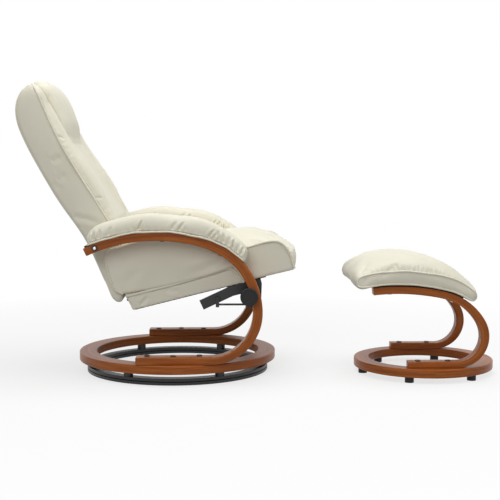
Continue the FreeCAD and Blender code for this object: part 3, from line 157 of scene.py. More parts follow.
@dataclass(frozen=True)
class BentPath:
    """The outer line of a bent strip: a straight foot, then arcs that turn up and back.

    Attributes:
        x: Start along X.
        z: Start along Z.
        straight: Length of the foot.
        bends: Radius and turn, in degrees, of each arc.
    """

    x: float
    z: float
    straight: float
    bends: tuple[tuple[float, float], ...]

    def samples(self, step: float = 0.004) -> np.ndarray:
        """Follows the line.

        Args:
            step: Distance between samples.

        Returns:
            Rows of x, z, heading in radians and distance from the start.
        """
        rows = [(self.x, self.z, 0.0, 0.0)]
        for radius, turn in ((0.0, 0.0), *self.bends):
            x, z, heading, run = rows.pop()
            length = radius * math.radians(turn) if radius else self.straight
            count = max(2, round(length / step))
            for part in (length * i / count for i in range(count + 1)):
                now = heading + part / radius if radius else heading
                dx = radius * (math.sin(now) - math.sin(heading)) if radius else part
                dz = radius * (math.cos(heading) - math.cos(now))
                rows.append((x + dx, z + dz, now, run + part))
        return np.array(rows)

    def point(self, heading: float, out: float, y: float) -> Vector:
        """Places a point off the outer line.

        Args:
            heading: Heading of the line there, in degrees.
            out: Distance outwards from the line.
            y: Distance across the chair.

        Returns:
            The point in the shared frame.
        """
        rows = self.samples()
        angle = math.radians(heading)
        x, z = (np.interp(angle, rows[:, 2], rows[:, k]) for k in (0, 1))
        return Vector((x + out * math.sin(angle), y, z - out * math.cos(angle)))

    def local(self, points: np.ndarray) -> tuple[np.ndarray, np.ndarray]:
        """Reads points along the line.

        Args:
            points: Rows of shared-frame points.

        Returns:
            The distance along the line and outwards from it.
        """
        rows = self.samples()
        off = np.linalg.norm(points[:, None, ::2] - rows[None, :, :2], axis=2)
        near = rows[off.argmin(1)]
        dx, dz = points[:, 0] - near[:, 0], points[:, 2] - near[:, 1]
        return near[:, 3], dx * np.sin(near[:, 2]) - dz * np.cos(near[:, 2])


SEAT = Slope(-0.113929, 0.216130, 14.0)
BACK = Slope(-0.223913, 0.405157, 28.0)
CHAIR_STRIP = BentPath(-0.110, 0.0623, 0.220, ((0.152, 89.5), (0.221, 71.9), (0.498, 43.7)))
STOOL_STRIP = BentPath(0.696, 0.043, 0.146, ((0.094, 119.5), (0.182, 47.7), (0.645, 25.6)))
STOOL_X, STOOL_Y = 0.773, -0.0694


# ---------------------------------------------------------------- finishes


class Graph:
    """A material's node tree, with short calls to add and join its nodes."""

    def __init__(self, owner: Material | bpy.types.World) -> None:
        """Takes up a material's or the world's nodes.

        Args:
            owner: The material or world.
        """
        owner.use_nodes = True
        self.owner = owner
        self.tree = owner.node_tree

    @classmethod
    def material(cls, name: str) -> "Graph":
        """Starts a material.

        Args:
            name: The material's name.

        Returns:
            Its graph.
        """
        return cls(bpy.data.materials.new(name))

    @property
    def shader(self) -> Node:
        """Gives the material's main shader.

        Returns:
            The node.
        """
        return self.tree.nodes["Principled BSDF"]

    def fill(self, node: Node, **inputs: object) -> None:
        """Sets or joins a node's inputs.

        Args:
            node: The node.
            **inputs: A value or a socket for each, with underscores for spaces.
        """
        for key, value in inputs.items():
            socket = node.inputs[key.replace("_", " ")]
            if isinstance(value, Socket):
                self.tree.links.new(value, socket)
            else:
                socket.default_value = value

    def add(self, kind: str, *sockets: Socket, **inputs: object) -> Node:
        """Adds a node.

        Args:
            kind: The node's type, without its ShaderNode prefix.
            *sockets: What its first inputs read.
            **inputs: A value or a socket for other inputs, with underscores for spaces.

        Returns:
            The node.
        """
        node = self.tree.nodes.new("ShaderNode" + kind)
        for place, socket in enumerate(sockets):
            self.tree.links.new(socket, node.inputs[place])
        self.fill(node, **inputs)
        return node

    def math(self, kind: str, *values: Socket) -> Socket:
        """Works out a number.

        Args:
            kind: The operation.
            *values: The sockets it reads.

        Returns:
            The result's socket.
        """
        node = self.add("Math", *values)
        node.operation = kind
        return node.outputs["Value"]

    def ramp(self, factor: Socket, stops: Sequence[tuple[float, Colour]]) -> Socket:
        """Turns a factor into a colour.

        Args:
            factor: The socket that drives it.
            stops: Positions and colours.

        Returns:
            The colour socket.
        """
        node = self.add("ValToRGB", factor)
        while len(node.color_ramp.elements) < len(stops):
            node.color_ramp.elements.new(0.5)
        for element, (place, colour) in zip(node.color_ramp.elements, stops):
            element.position = place
            element.color = (*colour, 1.0)
        return node.outputs["Color"]

    def bump(self, height: Socket, strength: float, distance: float, under: Socket | None = None) -> Socket:
        """Adds relief.

        Args:
            height: The height socket.
            strength: How strongly it shows.
            distance: Its depth.
            under: The normal it lies on, if any.

        Returns:
            The normal socket.
        """
        node = self.add("Bump", Strength=strength, Distance=distance, Height=height)
        if under is not None:
            self.fill(node, Normal=under)
        return node.outputs["Normal"]

    def seen(self) -> Socket:
        """Tells what the camera sees, also by reflection.

        Returns:
            A socket that is 1 for such rays.
        """
        path = self.add("LightPath").outputs
        bent = self.math("MAXIMUM", path["Is Glossy Ray"], path["Is Transmission Ray"])
        return self.math("MAXIMUM", path["Is Camera Ray"], bent)


@dataclass(frozen=True)
class Leather:
    """Soft grained leather.

    Attributes:
        name: The material's name.
        light: Colour of its paler patches.
        deep: Colour of its deeper patches.
        roughness: Roughness of its surface.
        pebble: Size of its grain.
        relief: Strength of the grain.
        shine: Its specular level.
    """

    name: str
    light: Colour
    deep: Colour
    roughness: float = 0.5
    pebble: float = 0.0016
    relief: float = 0.22
    shine: float = 0.35

    def build(self) -> Material:
        """Makes the material.

        Returns:
            The material.
        """
        g = Graph.material(self.name)
        place = g.add("TexCoord").outputs["Object"]
        patch = g.add("TexNoise", place, Scale=7.0, Detail=3.0, Roughness=0.55)
        grain = g.add("TexVoronoi", place, Scale=1.0 / self.pebble)
        crease = g.add("TexNoise", place, Scale=60.0, Detail=5.0, Roughness=0.6, Distortion=0.4)
        soft = g.bump(crease.outputs["Fac"], 0.18, 0.0012)
        g.fill(g.shader, Base_Color=g.ramp(patch.outputs["Fac"], ((0.3, self.deep), (0.7, self.light))),
               Normal=g.bump(grain.outputs["Distance"], self.relief, 0.0003, soft),
               Roughness=self.roughness, Specular_IOR_Level=self.shine)
        return g.owner


class Grain(Enum):
    """How a wood's grain runs."""

    STRAIGHT = "along X"
    BENT = "along the piece's own grain attribute"
    ROUND = "round a centre"


@dataclass(frozen=True)
class Wood:
    """Lacquered wood with a fine straight grain.

    Attributes:
        name: The material's name.
        tones: Its dark, middle and light tones.
        stretch: How the grain's pattern is drawn along, across and through the piece.
        edge: Rounding of its edges.
        grain: How its grain runs.
        centre: The place that a round grain goes about.
        roughness: Roughness of its lacquer.
        shine: Its specular level.
    """

    name: str
    tones: tuple[Colour, Colour, Colour]
    stretch: tuple[float, float, float] = (5.0, 90.0, 120.0)
    edge: float = 0.0015
    grain: Grain = Grain.STRAIGHT
    centre: tuple[float, float] = (0.0, 0.0)
    roughness: float = 0.34
    shine: float = 0.22

    def place(self, g: Graph) -> Socket:
        """Gives the place that the grain reads.

        Args:
            g: The graph to add to.

        Returns:
            The vector socket, with the grain along its first part.
        """
        if self.grain is Grain.BENT:
            source = g.add("Attribute")
            source.attribute_name = "grain"
            return source.outputs["Vector"]
        spot = g.add("TexCoord").outputs["Object"]
        if self.grain is Grain.STRAIGHT:
            return spot
        about = g.add("Mapping", spot, Location=(-self.centre[0], -self.centre[1], 0.0))
        x, y, z = g.add("SeparateXYZ", about.outputs["Vector"]).outputs
        out = g.math("SQRT", g.math("ADD", g.math("MULTIPLY", x, x), g.math("MULTIPLY", y, y)))
        along = g.math("MULTIPLY", g.math("ARCTAN2", x, y), out)
        return g.add("CombineXYZ", along, out, z).outputs["Vector"]

    def build(self) -> Material:
        """Makes the material.

        Returns:
            The material.
        """
        g = Graph.material(self.name)
        drawn = g.add("Mapping", self.place(g), Scale=self.stretch).outputs["Vector"]
        figure = g.add("TexNoise", drawn, Scale=1.0, Detail=4.0, Roughness=0.6, Distortion=0.4)
        pores = g.add("TexNoise", drawn, Scale=4.0, Detail=3.0, Roughness=0.7).outputs["Fac"]
        broad = g.ramp(figure.outputs["Fac"], tuple(zip((0.3, 0.5, 0.72), self.tones)))
        fine = g.ramp(pores, ((0.34, (0.62, 0.55, 0.5)), (0.5, (1.0, 1.0, 1.0))))
        tone = g.add("MixRGB", Fac=0.5, Color1=broad, Color2=fine)
        tone.blend_type = "MULTIPLY"
        rounded = g.add("Bevel", Radius=self.edge).outputs["Normal"]
        g.fill(g.shader, Base_Color=tone.outputs["Color"], Normal=g.bump(pores, 0.06, 0.0004, rounded),
               Roughness=self.roughness, Specular_IOR_Level=self.shine)
        return g.owner


@dataclass(frozen=True)
class Metal:
    """Painted or bare metal, or moulded plastic.

    Attributes:
        name: The material's name.
        colour: Its colour.
        metallic: 1 for bare metal, 0 for paint or plastic.
        roughness: Roughness of its surface.
        speck: Strength of its fine texture.
        edge: Rounding of its edges.
        shine: Its specular level.
    """

    name: str
    colour: Colour
    metallic: float
    roughness: float
    speck: float = 0.0
    edge: float = 0.0006
    shine: float = 0.5

    def build(self) -> Material:
        """Makes the material.

        Returns:
            The material.
        """
        g = Graph.material(self.name)
        dust = g.add("TexNoise", g.add("TexCoord").outputs["Object"], Scale=900.0, Detail=2.0)
        rounded = g.add("Bevel", Radius=self.edge).outputs["Normal"]
        g.fill(g.shader, Base_Color=(*self.colour, 1.0), Metallic=self.metallic, Roughness=self.roughness,
               Specular_IOR_Level=self.shine, Normal=g.bump(dust.outputs["Fac"], self.speck, 0.0003, rounded))
        return g.owner


@dataclass(frozen=True)
class Woven:
    """Plain woven cloth or webbing.

    Attributes:
        name: The material's name.
        colour: Its colour.
        thread: Width of a thread.
        roughness: Roughness of its surface.
    """

    name: str
    colour: Colour
    thread: float = 0.0012
    roughness: float = 0.85

    def build(self) -> Material:
        """Makes the material.

        Returns:
            The material.
        """
        g = Graph.material(self.name)
        weave = g.add("TexChecker", g.add("TexCoord").outputs["Object"], Scale=1.0 / self.thread)
        g.fill(g.shader, Base_Color=(*self.colour, 1.0), Normal=g.bump(weave.outputs["Fac"], 0.4, 0.0003),
               Roughness=self.roughness)
        return g.owner


Finish = Leather | Wood | Metal | Woven
Looks = tuple[tuple[Slot | Finish, tuple[str, ...]], ...]
CHERRY = ((0.245, 0.063, 0.011), (0.38, 0.104, 0.017), (0.475, 0.143, 0.029))
BLACKENED = ((0.02, 0.014, 0.011), (0.035, 0.025, 0.02), (0.05, 0.037, 0.03))
FINISHES: dict[Slot, Finish] = {
    Slot.LEATHER: Leather("ivory_leather", (0.81, 0.782, 0.655), (0.775, 0.742, 0.605)),
    Slot.WOOD: Wood("bent_cherry", CHERRY, grain=Grain.BENT),
    Slot.PLY: Wood("plywood", BLACKENED, (9.0, 70.0, 300.0)),
    Slot.STEEL: Metal("black_steel", (0.008, 0.008, 0.009), 0.0, 0.38, 0.08),
    Slot.BEARING: Metal("bearing_steel", (0.55, 0.55, 0.56), 1.0, 0.35),
    Slot.BRIGHT: Metal("bright_steel", (0.80, 0.80, 0.80), 1.0, 0.12),
    Slot.FABRIC: Woven("black_fabric", (0.012, 0.012, 0.013)),
    Slot.PLASTIC: Metal("black_plastic", (0.011, 0.011, 0.012), 0.0, 0.55, 0.25, 0.001, 0.3),
}
BASE_WOOD = Wood("ring_cherry", CHERRY, grain=Grain.ROUND)
STOOL_WOOD = Wood("stool_ring_cherry", CHERRY, grain=Grain.ROUND, centre=(STOOL_X, STOOL_Y))
MADE: dict[str, Material] = {}


def finish(look: Slot | Finish) -> Material:
    """Gives a finish's material, made once.

    Args:
        look: The finish, or the slot that has it.

    Returns:
        Its material.
    """
    made = FINISHES[look] if isinstance(look, Slot) else look
    if made.name not in MADE:
        MADE[made.name] = made.build()
    return MADE[made.name]


def dress(look: Slot | Finish, *nodes: str) -> None:
    """Gives CAD nodes a finish.

    Args:
        look: The finish, or the slot that has it.
        *nodes: Names of the nodes.
    """
    for node in nodes:
        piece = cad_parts[node]
        if not piece.material_slots:
            piece.data.materials.append(finish(look))
        for place in piece.material_slots:
            place.material = finish(look)


# ---------------------------------------------------------------- soft work


def linked(name: str, data: bpy.types.ID) -> Object:
    """Puts a new object in the scene.

    Args:
        name: Its name.
        data: Its mesh, curve, light or camera.

    Returns:
        The object.
    """
    obj = bpy.data.objects.new(name, data)
    bpy.context.scene.collection.objects.link(obj)
    return obj


def placed(bm: BMesh, name: str) -> Object:
    """Makes an object of a mesh in work.

    Args:
        bm: The mesh, freed here.
        name: The object's name.

    Returns:
        The object.
    """
    mesh = bpy.data.meshes.new(name)
    bm.to_mesh(mesh)
    bm.free()
    return linked(name, mesh)


def fitted(obj: Object, look: Slot, body: str, node: str | None = None) -> None:
    """Gives a new piece its finish and its place in the frame.

    Args:
        obj: The piece.
        look: The slot of its finish.
        body: The body it rides on.
        node: The CAD node it stands for, if any.
    """
    obj.data.materials.clear()
    obj.data.materials.append(finish(look))
    obj.data.shade_smooth()
    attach(obj, body)
    if node is not None:
        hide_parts(node)
    LOG.info("made %s with %d faces", obj.name, len(obj.data.polygons))


def copied(node: str) -> BMesh:
    """Copies a CAD node's mesh, merged.

    Args:
        node: The node.

    Returns:
        The copy, in work.
    """
    bm = bmesh.new()
    bm.from_mesh(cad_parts[node].data)
    bmesh.ops.remove_doubles(bm, verts=bm.verts, dist=MERGE)
    bmesh.ops.recalc_face_normals(bm, faces=bm.faces)
    return bm


def settled(obj: Object) -> None:
    """Makes an object's modifiers part of its mesh.

    Args:
        obj: The object.
    """
    view = bpy.context.evaluated_depsgraph_get()
    view.update()
    mesh = bpy.data.meshes.new_from_object(obj.evaluated_get(view))
    old = obj.data
    obj.modifiers.clear()
    obj.data = mesh
    bpy.data.meshes.remove(old)
    mesh.name = obj.name


def relaxed(obj: Object, rounds: int) -> None:
    """Smooths an object's points.

    Args:
        obj: The object.
        rounds: How many times.
    """
    bm = bmesh.new()
    bm.from_mesh(obj.data)
    for _ in range(rounds):
        bmesh.ops.smooth_vert(bm, verts=bm.verts, factor=0.5, use_axis_x=True, use_axis_y=True, use_axis_z=True)
    bm.to_mesh(obj.data)
    bm.free()


def rows_of(items: bpy.types.bpy_prop_collection, key: str = "co") -> np.ndarray:
    """Reads three numbers from each item.

    Args:
        items: A mesh's points or normals.
        key: What to read from them.

    Returns:
        A row for each item.
    """
    flat = np.empty(len(items) * 3)
    items.foreach_get(key, flat)
    return flat.reshape(-1, 3)


def write(obj: Object, points: np.ndarray) -> None:
    """Moves an object's points.

    Args:
        obj: The object.
        points: Rows of points.
    """
    obj.data.vertices.foreach_set("co", points.ravel())
    obj.data.update()


def skin_of(obj: Object) -> BVHTree:
    """Gives an object's surface, to find the nearest place on it.

    Args:
        obj: The object.

    Returns:
        The surface.
    """
    bm = bmesh.new()
    bm.from_mesh(obj.data)
    tree = BVHTree.FromBMesh(bm)
    bm.free()
    return tree


def stepped(line: Line, step: float) -> list[Vector]:
    """Follows a line in even steps.

    Args:
        line: The line's corners.
        step: About the distance between its new points.

    Returns:
        The points, with both ends.
    """
    spots = []
    for a, b in zip(line, line[1:]):
        count = max(1, round((b - a).length / step))
        spots += [a.lerp(b, i / count) for i in range(count)]
    return [*spots, line[-1]]


def share_of(values: np.ndarray, start: float, end: float) -> np.ndarray:
    """Tells how far values have come from a start to an end.

    Args:
        values: The values.
        start: Where the share is 0.
        end: Where it is 1.

    Returns:
        The shares, from 0 to 1.
    """
    return np.clip((values - start) / (end - start), 0.0, 1.0)


def bell(values: np.ndarray, middle: float, spread: float) -> np.ndarray:
    """Weighs values by how close they are to a middle.

    Args:
        values: The values.
        middle: Where the weight is 1.
        spread: Distance from there at which it is about a third.

    Returns:
        The weights.
    """
    return np.exp(-((values - middle) / spread) ** 2)


@dataclass(frozen=True)
class Crease:
    """The form of a fold.

    Attributes:
        depth: Its depth.
        width: Its half width.
        ridge: Height of the swells beside it, as a share of the depth.
        taper: Shares of its length over which it starts and ends.
        beside: Distance and spread of the swells, in half widths.
    """

    depth: float
    width: float
    ridge: float
    taper: tuple[float, float] = (0.12, 0.45)
    beside: tuple[float, float] = (2.2, 1.1)


class Sculpt:
    """Moves a soft piece's points, as folds, gathers and lumps do.

    Attributes:
        points: Its points.
        out: Its normals.
        skin: Its surface, on which the fold lines are laid.
        step: Distance between the points of a fold line.
    """

    step = 0.007

    def __init__(self, obj: Object) -> None:
        """Takes up a piece.

        Args:
            obj: The piece.
        """
        self.points = rows_of(obj.data.vertices)
        self.out = rows_of(obj.data.vertex_normals, "vector")
        self.skin = skin_of(obj)

    def push(self, amount: np.ndarray) -> None:
        """Moves the points along their normals.

        Args:
            amount: How far each point moves.
        """
        self.points = self.points + self.out * amount[:, None]

    def near(self, line: Line) -> tuple[np.ndarray, np.ndarray]:
        """Measures the points against a line.

        Args:
            line: The line's points.

        Returns:
            Each point's distance from the line, and its share of the way along it.
        """
        best = np.full(len(self.points), np.inf)
        share = np.zeros(len(self.points))
        ends = [np.array(self.skin.find_nearest(spot)[0]) for spot in stepped(line, self.step)]
        lengths = [max(np.linalg.norm(b - a), 1e-6) for a, b in zip(ends, ends[1:])]
        run = 0.0
        for a, b, length in zip(ends, ends[1:], lengths):
            along = np.clip((self.points - a) @ (b - a) / length ** 2, 0.0, 1.0)
            off = np.linalg.norm(self.points - a - along[:, None] * (b - a), axis=1)
            closer = off < best
            best = np.where(closer, off, best)
            share = np.where(closer, (run + along * length) / sum(lengths), share)
            run += length
        return best, share

    def valley(self, line: Line, crease: Crease) -> None:
        """Presses a fold into the piece.

        Args:
            line: The fold's line.
            crease: Its form.
        """
        off, share = self.near(line)
        fade = share_of(share, 0.0, crease.taper[0]) * share_of(share, 1.0, 1.0 - crease.taper[1])
        fade = fade * fade * (3 - 2 * fade)
        off = off / crease.width
        self.push(crease.depth * (crease.ridge * bell(off, *crease.beside) - bell(off, 0.0, 1.0)) * fade)

    def folds(self, lines: Sequence[Line], crease: Crease) -> None:
        """Presses several folds, each a little unlike the last.

        Args:
            lines: The folds' lines.
            crease: Their usual form.
        """
        for count, line in enumerate(lines):
            uneven = 1.0 + 0.35 * math.sin(2.4 * count + 0.7)
            self.valley(line, replace(crease, depth=crease.depth * uneven, width=crease.width * (1.6 - 0.6 * uneven)))

    def gathers(self, along: np.ndarray, weight: np.ndarray, wave: float, height: float, seed: float) -> None:
        """Puckers the piece.

        Args:
            along: Each point's distance across the puckers.
            weight: How strongly each point puckers.
            wave: Distance between puckers.
            height: Their height.
            seed: Start of their uneven pattern.
        """
        wander = np.array([noise.noise(Vector((p[0] * 9 + seed, p[1] * 9, p[2] * 9))) for p in self.points])
        shape = np.sin(2 * math.pi * along / wave + 5.0 * wander) * (0.6 + 0.8 * wander)
        self.push(height * weight * shape)

    def lumps(self, scale: float, height: float, seed: float) -> None:
        """Makes the piece softly uneven.

        Args:
            scale: Lumps per metre.
            height: Their height.
            seed: Start of their pattern.
        """
        self.push(height * np.array([noise.noise(Vector(p) * scale + Vector((seed, 0, 0))) for p in self.points]))


@dataclass
class SoftPiece:
    """One upholstered piece, made from its CAD solid.

    Attributes:
        node: The CAD node it stands for.
        body: The body it rides on.
        voxel: Cell of its skin.
        shrink: How much smaller it starts.
        rounds: How often it is smoothed.
        swell: How it is filled.
        pressure: Pressure of its filling.
        frames: How many frames the filling takes.
        cap: How far the filling may move a point.
        fill: How full it is; not used.
        held: Finds which of its points are held in place.
        shape: Sculpts it.
    """

    node: str
    body: str
    voxel: float = 0.006
    shrink: float = 0.0
    rounds: int = 4
    swell: Swell = Swell.CLOTH
    pressure: float = 4.0
    frames: int = 20
    cap: float = 0.010
    fill: float = 0.7
    held: Callable[[np.ndarray], np.ndarray] = lambda points: np.zeros(len(points), bool)
    shape: Callable[[Sculpt], None] = lambda sculpt: None

    def inflate(self, obj: Object, held: np.ndarray) -> None:
        """Fills the cover by cloth simulation.

        Args:
            obj: The cover.
            held: Which points stay where they are.
        """
        scene = bpy.context.scene
        start = rows_of(obj.data.vertices)
        group = obj.vertex_groups.new(name="held")
        group.add([int(i) for i in np.flatnonzero(held)], 1.0, "REPLACE")
        cloth = obj.modifiers.new("filling", "CLOTH")
        cloth.settings.use_pressure = True
        cloth.settings.uniform_pressure_force = self.pressure
        cloth.settings.effector_weights.gravity = 0.0
        cloth.settings.vertex_group_mass = "held"
        cloth.settings.quality = 4
        cloth.point_cache.frame_start = 1
        cloth.point_cache.frame_end = self.frames
        for step in range(1, self.frames + 1):
            scene.frame_set(step)
        done = obj.evaluated_get(bpy.context.evaluated_depsgraph_get())
        move = rows_of(done.to_mesh().vertices) - start
        done.to_mesh_clear()
        obj.modifiers.clear()
        obj.vertex_groups.clear()
        scene.frame_set(1)
        length = np.linalg.norm(move, axis=1, keepdims=True)
        write(obj, start + move * np.minimum(1.0, self.cap / np.maximum(length, 1e-9)))

    def build(self) -> Object:
        """Makes the piece.

        Returns:
            The piece.
        """
        obj = placed(copied(self.node), self.node + "_cover")
        skin = obj.modifiers.new("skin", "REMESH")
        skin.mode = "VOXEL"
        skin.voxel_size = self.voxel
        settled(obj)
        relaxed(obj, self.rounds)
        points = rows_of(obj.data.vertices)
        held = self.held(points)
        if self.shrink:
            write(obj, points - rows_of(obj.data.vertex_normals, "vector") * (self.shrink * ~held)[:, None])
        if self.swell is Swell.CLOTH:
            self.inflate(obj, held)
            relaxed(obj, 1)
        finer = obj.modifiers.new("finer", "SUBSURF")
        finer.levels = finer.render_levels = 1
        settled(obj)
        sculpt = Sculpt(obj)
        self.shape(sculpt)
        write(obj, sculpt.points)
        fitted(obj, Slot.LEATHER, self.body, self.node)
        return obj


@dataclass
class Piping:
    """A thin welt sewn along an edge.

    Attributes:
        name: The piece's name.
        body: The body it rides on.
        line: The edge it follows.
        on: The soft piece it is laid on, if any.
        radius: Its radius.
        lift: How far its middle stands off that piece.
        closed: Whether it closes on itself.
        step: Distance between its points.
        rounds: How often its line is smoothed.
    """

    name: str
    body: str
    line: Line
    on: Object | None = None
    radius: float = 0.0028
    lift: float = 0.0012
    closed: bool = False
    step: float = 0.006
    rounds: int = 6

    def build(self) -> None:
        """Makes the welt."""
        spots = stepped([*self.line, self.line[0]], self.step)[:-1] if self.closed else stepped(self.line, self.step)
        if self.on is not None:
            skin = skin_of(self.on)
            found = [skin.find_nearest(spot) for spot in spots]
            spots = [place + normal * self.lift for place, normal, _, _ in found]
        for _ in range(self.rounds):
            ends = (spots[0], spots[-1])
            spots = [(spots[i - 1] + 2 * spots[i] + spots[(i + 1) % len(spots)]) / 4 for i in range(len(spots))]
            if not self.closed:
                spots[0], spots[-1] = ends
        curve = bpy.data.curves.new(self.name, "CURVE")
        curve.dimensions = "3D"
        curve.bevel_depth = self.radius
        curve.bevel_resolution = 3
        curve.use_fill_caps = True
        spline = curve.splines.new("POLY")
        spline.points.add(len(spots) - 1)
        for point, place in zip(spline.points, spots):
            point.co = (*place, 1.0)
        spline.use_cyclic_u = self.closed
        draft = linked(self.name + "_draft", curve)
        mesh = bpy.data.meshes.new_from_object(draft.evaluated_get(bpy.context.evaluated_depsgraph_get()))
        bpy.data.objects.remove(draft)
        bpy.data.curves.remove(curve)
        fitted(linked(self.name, mesh), Slot.LEATHER, self.body)


@dataclass
class BentStrip:
    """A bentwood strip with eased edges, whose grain follows the bend.

    Attributes:
        node: The CAD node it stands for.
        body: The body it rides on.
        path: The strip's outer line.
        ease: Rounding of its long edges.
        station: Distance between its cross cuts.
        least: Length under which an edge belongs to a bolt hole and stays sharp.
        flat: Angle up to which faces are joined, in degrees.
        corner: Angle from which an edge is eased, in degrees.
        crisp: Angle from which an edge shows sharp, in degrees.
    """

    node: str
    body: str
    path: BentPath
    ease: float = 0.0025
    station: float = 0.016
    least: float = 0.0035
    flat: float = 0.6
    corner: float = 50.0
    crisp: float = 32.0

    def build(self) -> None:
        """Makes the strip."""
        bm = copied(self.node)
        bmesh.ops.dissolve_limit(bm, angle_limit=math.radians(self.flat), verts=bm.verts, edges=bm.edges)
        sharp = [edge for edge in bm.edges if edge.is_manifold and edge.calc_length() > self.least
                 and edge.calc_face_angle() > math.radians(self.corner)]
        bmesh.ops.bevel(bm, geom=sharp, offset=self.ease, offset_type="OFFSET", segments=3, profile=0.5,
                        affect="EDGES", material=-1, clamp_overlap=True)
        for x, z, heading, _ in self.path.samples(self.station):
            bmesh.ops.bisect_plane(bm, geom=bm.verts[:] + bm.edges[:] + bm.faces[:], dist=MERGE,
                                   plane_co=(x, 0.0, z), plane_no=(math.cos(heading), 0.0, math.sin(heading)))
        bmesh.ops.triangulate(bm, faces=[face for face in bm.faces if len(face.verts) > 4])
        bmesh.ops.recalc_face_normals(bm, faces=bm.faces)
        obj = placed(bm, self.node + "_wood")
        points = rows_of(obj.data.vertices)
        along, out = self.path.local(points)
        grain = obj.data.attributes.new("grain", "FLOAT_VECTOR", "POINT")
        grain.data.foreach_set("vector", np.column_stack((along, out, points[:, 1])).ravel())
        fitted(obj, Slot.WOOD, self.body, self.node)
        obj.data.set_sharp_from_angle(angle=math.radians(self.crisp))


# ---------------------------------------------------------------- sub-assemblies


@dataclass
class Assembly:
    """A group of pieces.

    Attributes:
        title: What the log calls it.
        looks: The CAD nodes of each finish; a name that ends with an underscore stands for both sides.
    """

    title: str = ""
    looks: Looks = ()

    def build(self) -> None:
        """Makes the group's new pieces, if it has any."""

    def dress(self) -> None:
        """Gives the group's CAD nodes their finishes."""
        for look, names in self.looks:
            for name in names:
                dress(look, *([name + side.word for side in Side] if name.endswith("_") else [name]))
        LOG.info("dressed the %s", self.title)


@dataclass
class SwivelBase(Assembly):
    """The ring base with its race, posts and balls."""

    title: str = "base"
    looks: Looks = ((Slot.STEEL, ("floor_ring", "swivel_ring", "spacer_posts")), (Slot.BEARING, ("bearing_balls",)),
                    (Slot.PLASTIC, ("ball_cage",)), (BASE_WOOD, ("base_ring",)))


@dataclass
class SideFrames(Assembly):
    """The two bentwood frames and their bolts."""

    title: str = "frames"
    looks: Looks = ((Slot.STEEL, ("foot_bolts",)),)

    def build(self) -> None:
        """Makes the frames' strips."""
        for side in Side:
            BentStrip("side_frame_" + side.word, "base", CHAIR_STRIP).build()


@dataclass
class Arms(Assembly):
    """The arm boards and their padded rests.

    Attributes:
        y: Distance of a pad's middle from the chair's.
        half: Half width of a pad at its foot.
        front: Heading of the strip at a pad's front end.
        rear: Heading of the strip at a pad's rear end.
        base: Height of a pad's foot over the strip.
        grip: Height over its foot up to which the board holds a pad.
        runs: Places of the welt's outer and inner run, as shares of the half width.
        steps: Number of steps along a run.
        sink: How far the welt lies below the foot.
        waves: Height, rate and start of the welt's waves.
        bulge: How far a pad's side stands out past its foot.
        crest: Where a fold ends on a pad's top, as a share of the half width.
        rises: Share of its lean and height over the foot at a fold's first two points, and its last height.
        leans: How far the creases and the pleats lean, in degrees of the strip's heading.
        creases: Headings of the strip at the folds that lean forwards.
        pleats: Headings of the strip at the folds near the front, which lean back.
        press: The folds' form.
        puckers: Height over the strip and spread of the fine puckers.
    """

    title: str = "arms"
    looks: Looks = ((Slot.PLY, ("arm_board_",)), (Slot.STEEL, ("arm_screws",)))
    y: float = 0.274
    half: float = 0.036
    front: float = 132.5
    rear: float = 203.2
    base: float = 0.0053
    grip: float = 0.004
    runs: tuple[float, float] = (1.0, -0.78)
    steps: int = 60
    sink: float = 0.0018
    waves: Places = ((0.0009, 34.0, 0.0), (0.0006, 83.0, 1.0))
    bulge: float = 0.012
    crest: float = 0.7
    rises: Places = ((0.0, 0.003), (0.4, 0.018), (1.0, 0.036))
    leans: tuple[float, float] = (-1.4, 2.6)
    creases: tuple[float, ...] = (201.2, 199.0, 195.3, 185.6, 174.8, 172.6, 162.6, 160.4)
    pleats: tuple[float, ...] = (156.4, 152.6, 148.4, 144.8, 140.4, 136.6)
    press: Crease = Crease(0.0046, 0.0036, 0.35)
    puckers: tuple[float, float] = (0.012, 0.010)

    def build(self) -> None:
        """Makes the padded rests and the welts along their feet."""
        for side in Side:
            SoftPiece("arm_pad_" + side.word, "base", voxel=0.0042, shrink=0.003, rounds=3, cap=0.008, fill=0.75,
                      held=lambda points: CHAIR_STRIP.local(points)[1] < self.base + self.grip,
                      shape=self.fold).build()
            outer, inner = ([self.foot(i / self.steps, side.value * (self.y + run * self.half))
                             for i in range(self.steps + 1)] for run in self.runs)
            Piping("arm_piping_" + side.word, "base", outer + inner[::-1], closed=True).build()

    def foot(self, share: float, y: float) -> Vector:
        """Places a point along a pad's foot, where the welt waves a little.

        Args:
            share: How far along, from the front.
            y: Distance across the chair.

        Returns:
            The point.
        """
        wave = sum(height * math.sin(rate * share + start) for height, rate, start in self.waves)
        return CHAIR_STRIP.point(self.front + (self.rear - self.front) * share, self.base - self.sink + wave, y)

    def fold(self, sculpt: Sculpt) -> None:
        """Puckers the pads' sides.

        Args:
            sculpt: The pad.
        """
        side = 1 if sculpt.points[:, 1].mean() > 0 else -1
        along, out = CHAIR_STRIP.local(sculpt.points)
        low = bell(out, *self.puckers)
        sculpt.lumps(scale=13.0, height=0.0016, seed=1.0)
        sculpt.gathers(along, low, wave=0.021, height=0.0007, seed=3.0)
        for turn in (-1, 1):
            edge = side * (self.y + turn * (self.half + self.bulge))
            crest = side * (self.y + turn * self.half * self.crest)
            for headings, lean in zip((self.creases, self.pleats), self.leans):
                sculpt.folds([[CHAIR_STRIP.point(heading + share * lean, self.base + rise, y)
                               for (share, rise), y in zip(self.rises, (edge, edge, crest))]
                              for heading in headings], self.press)


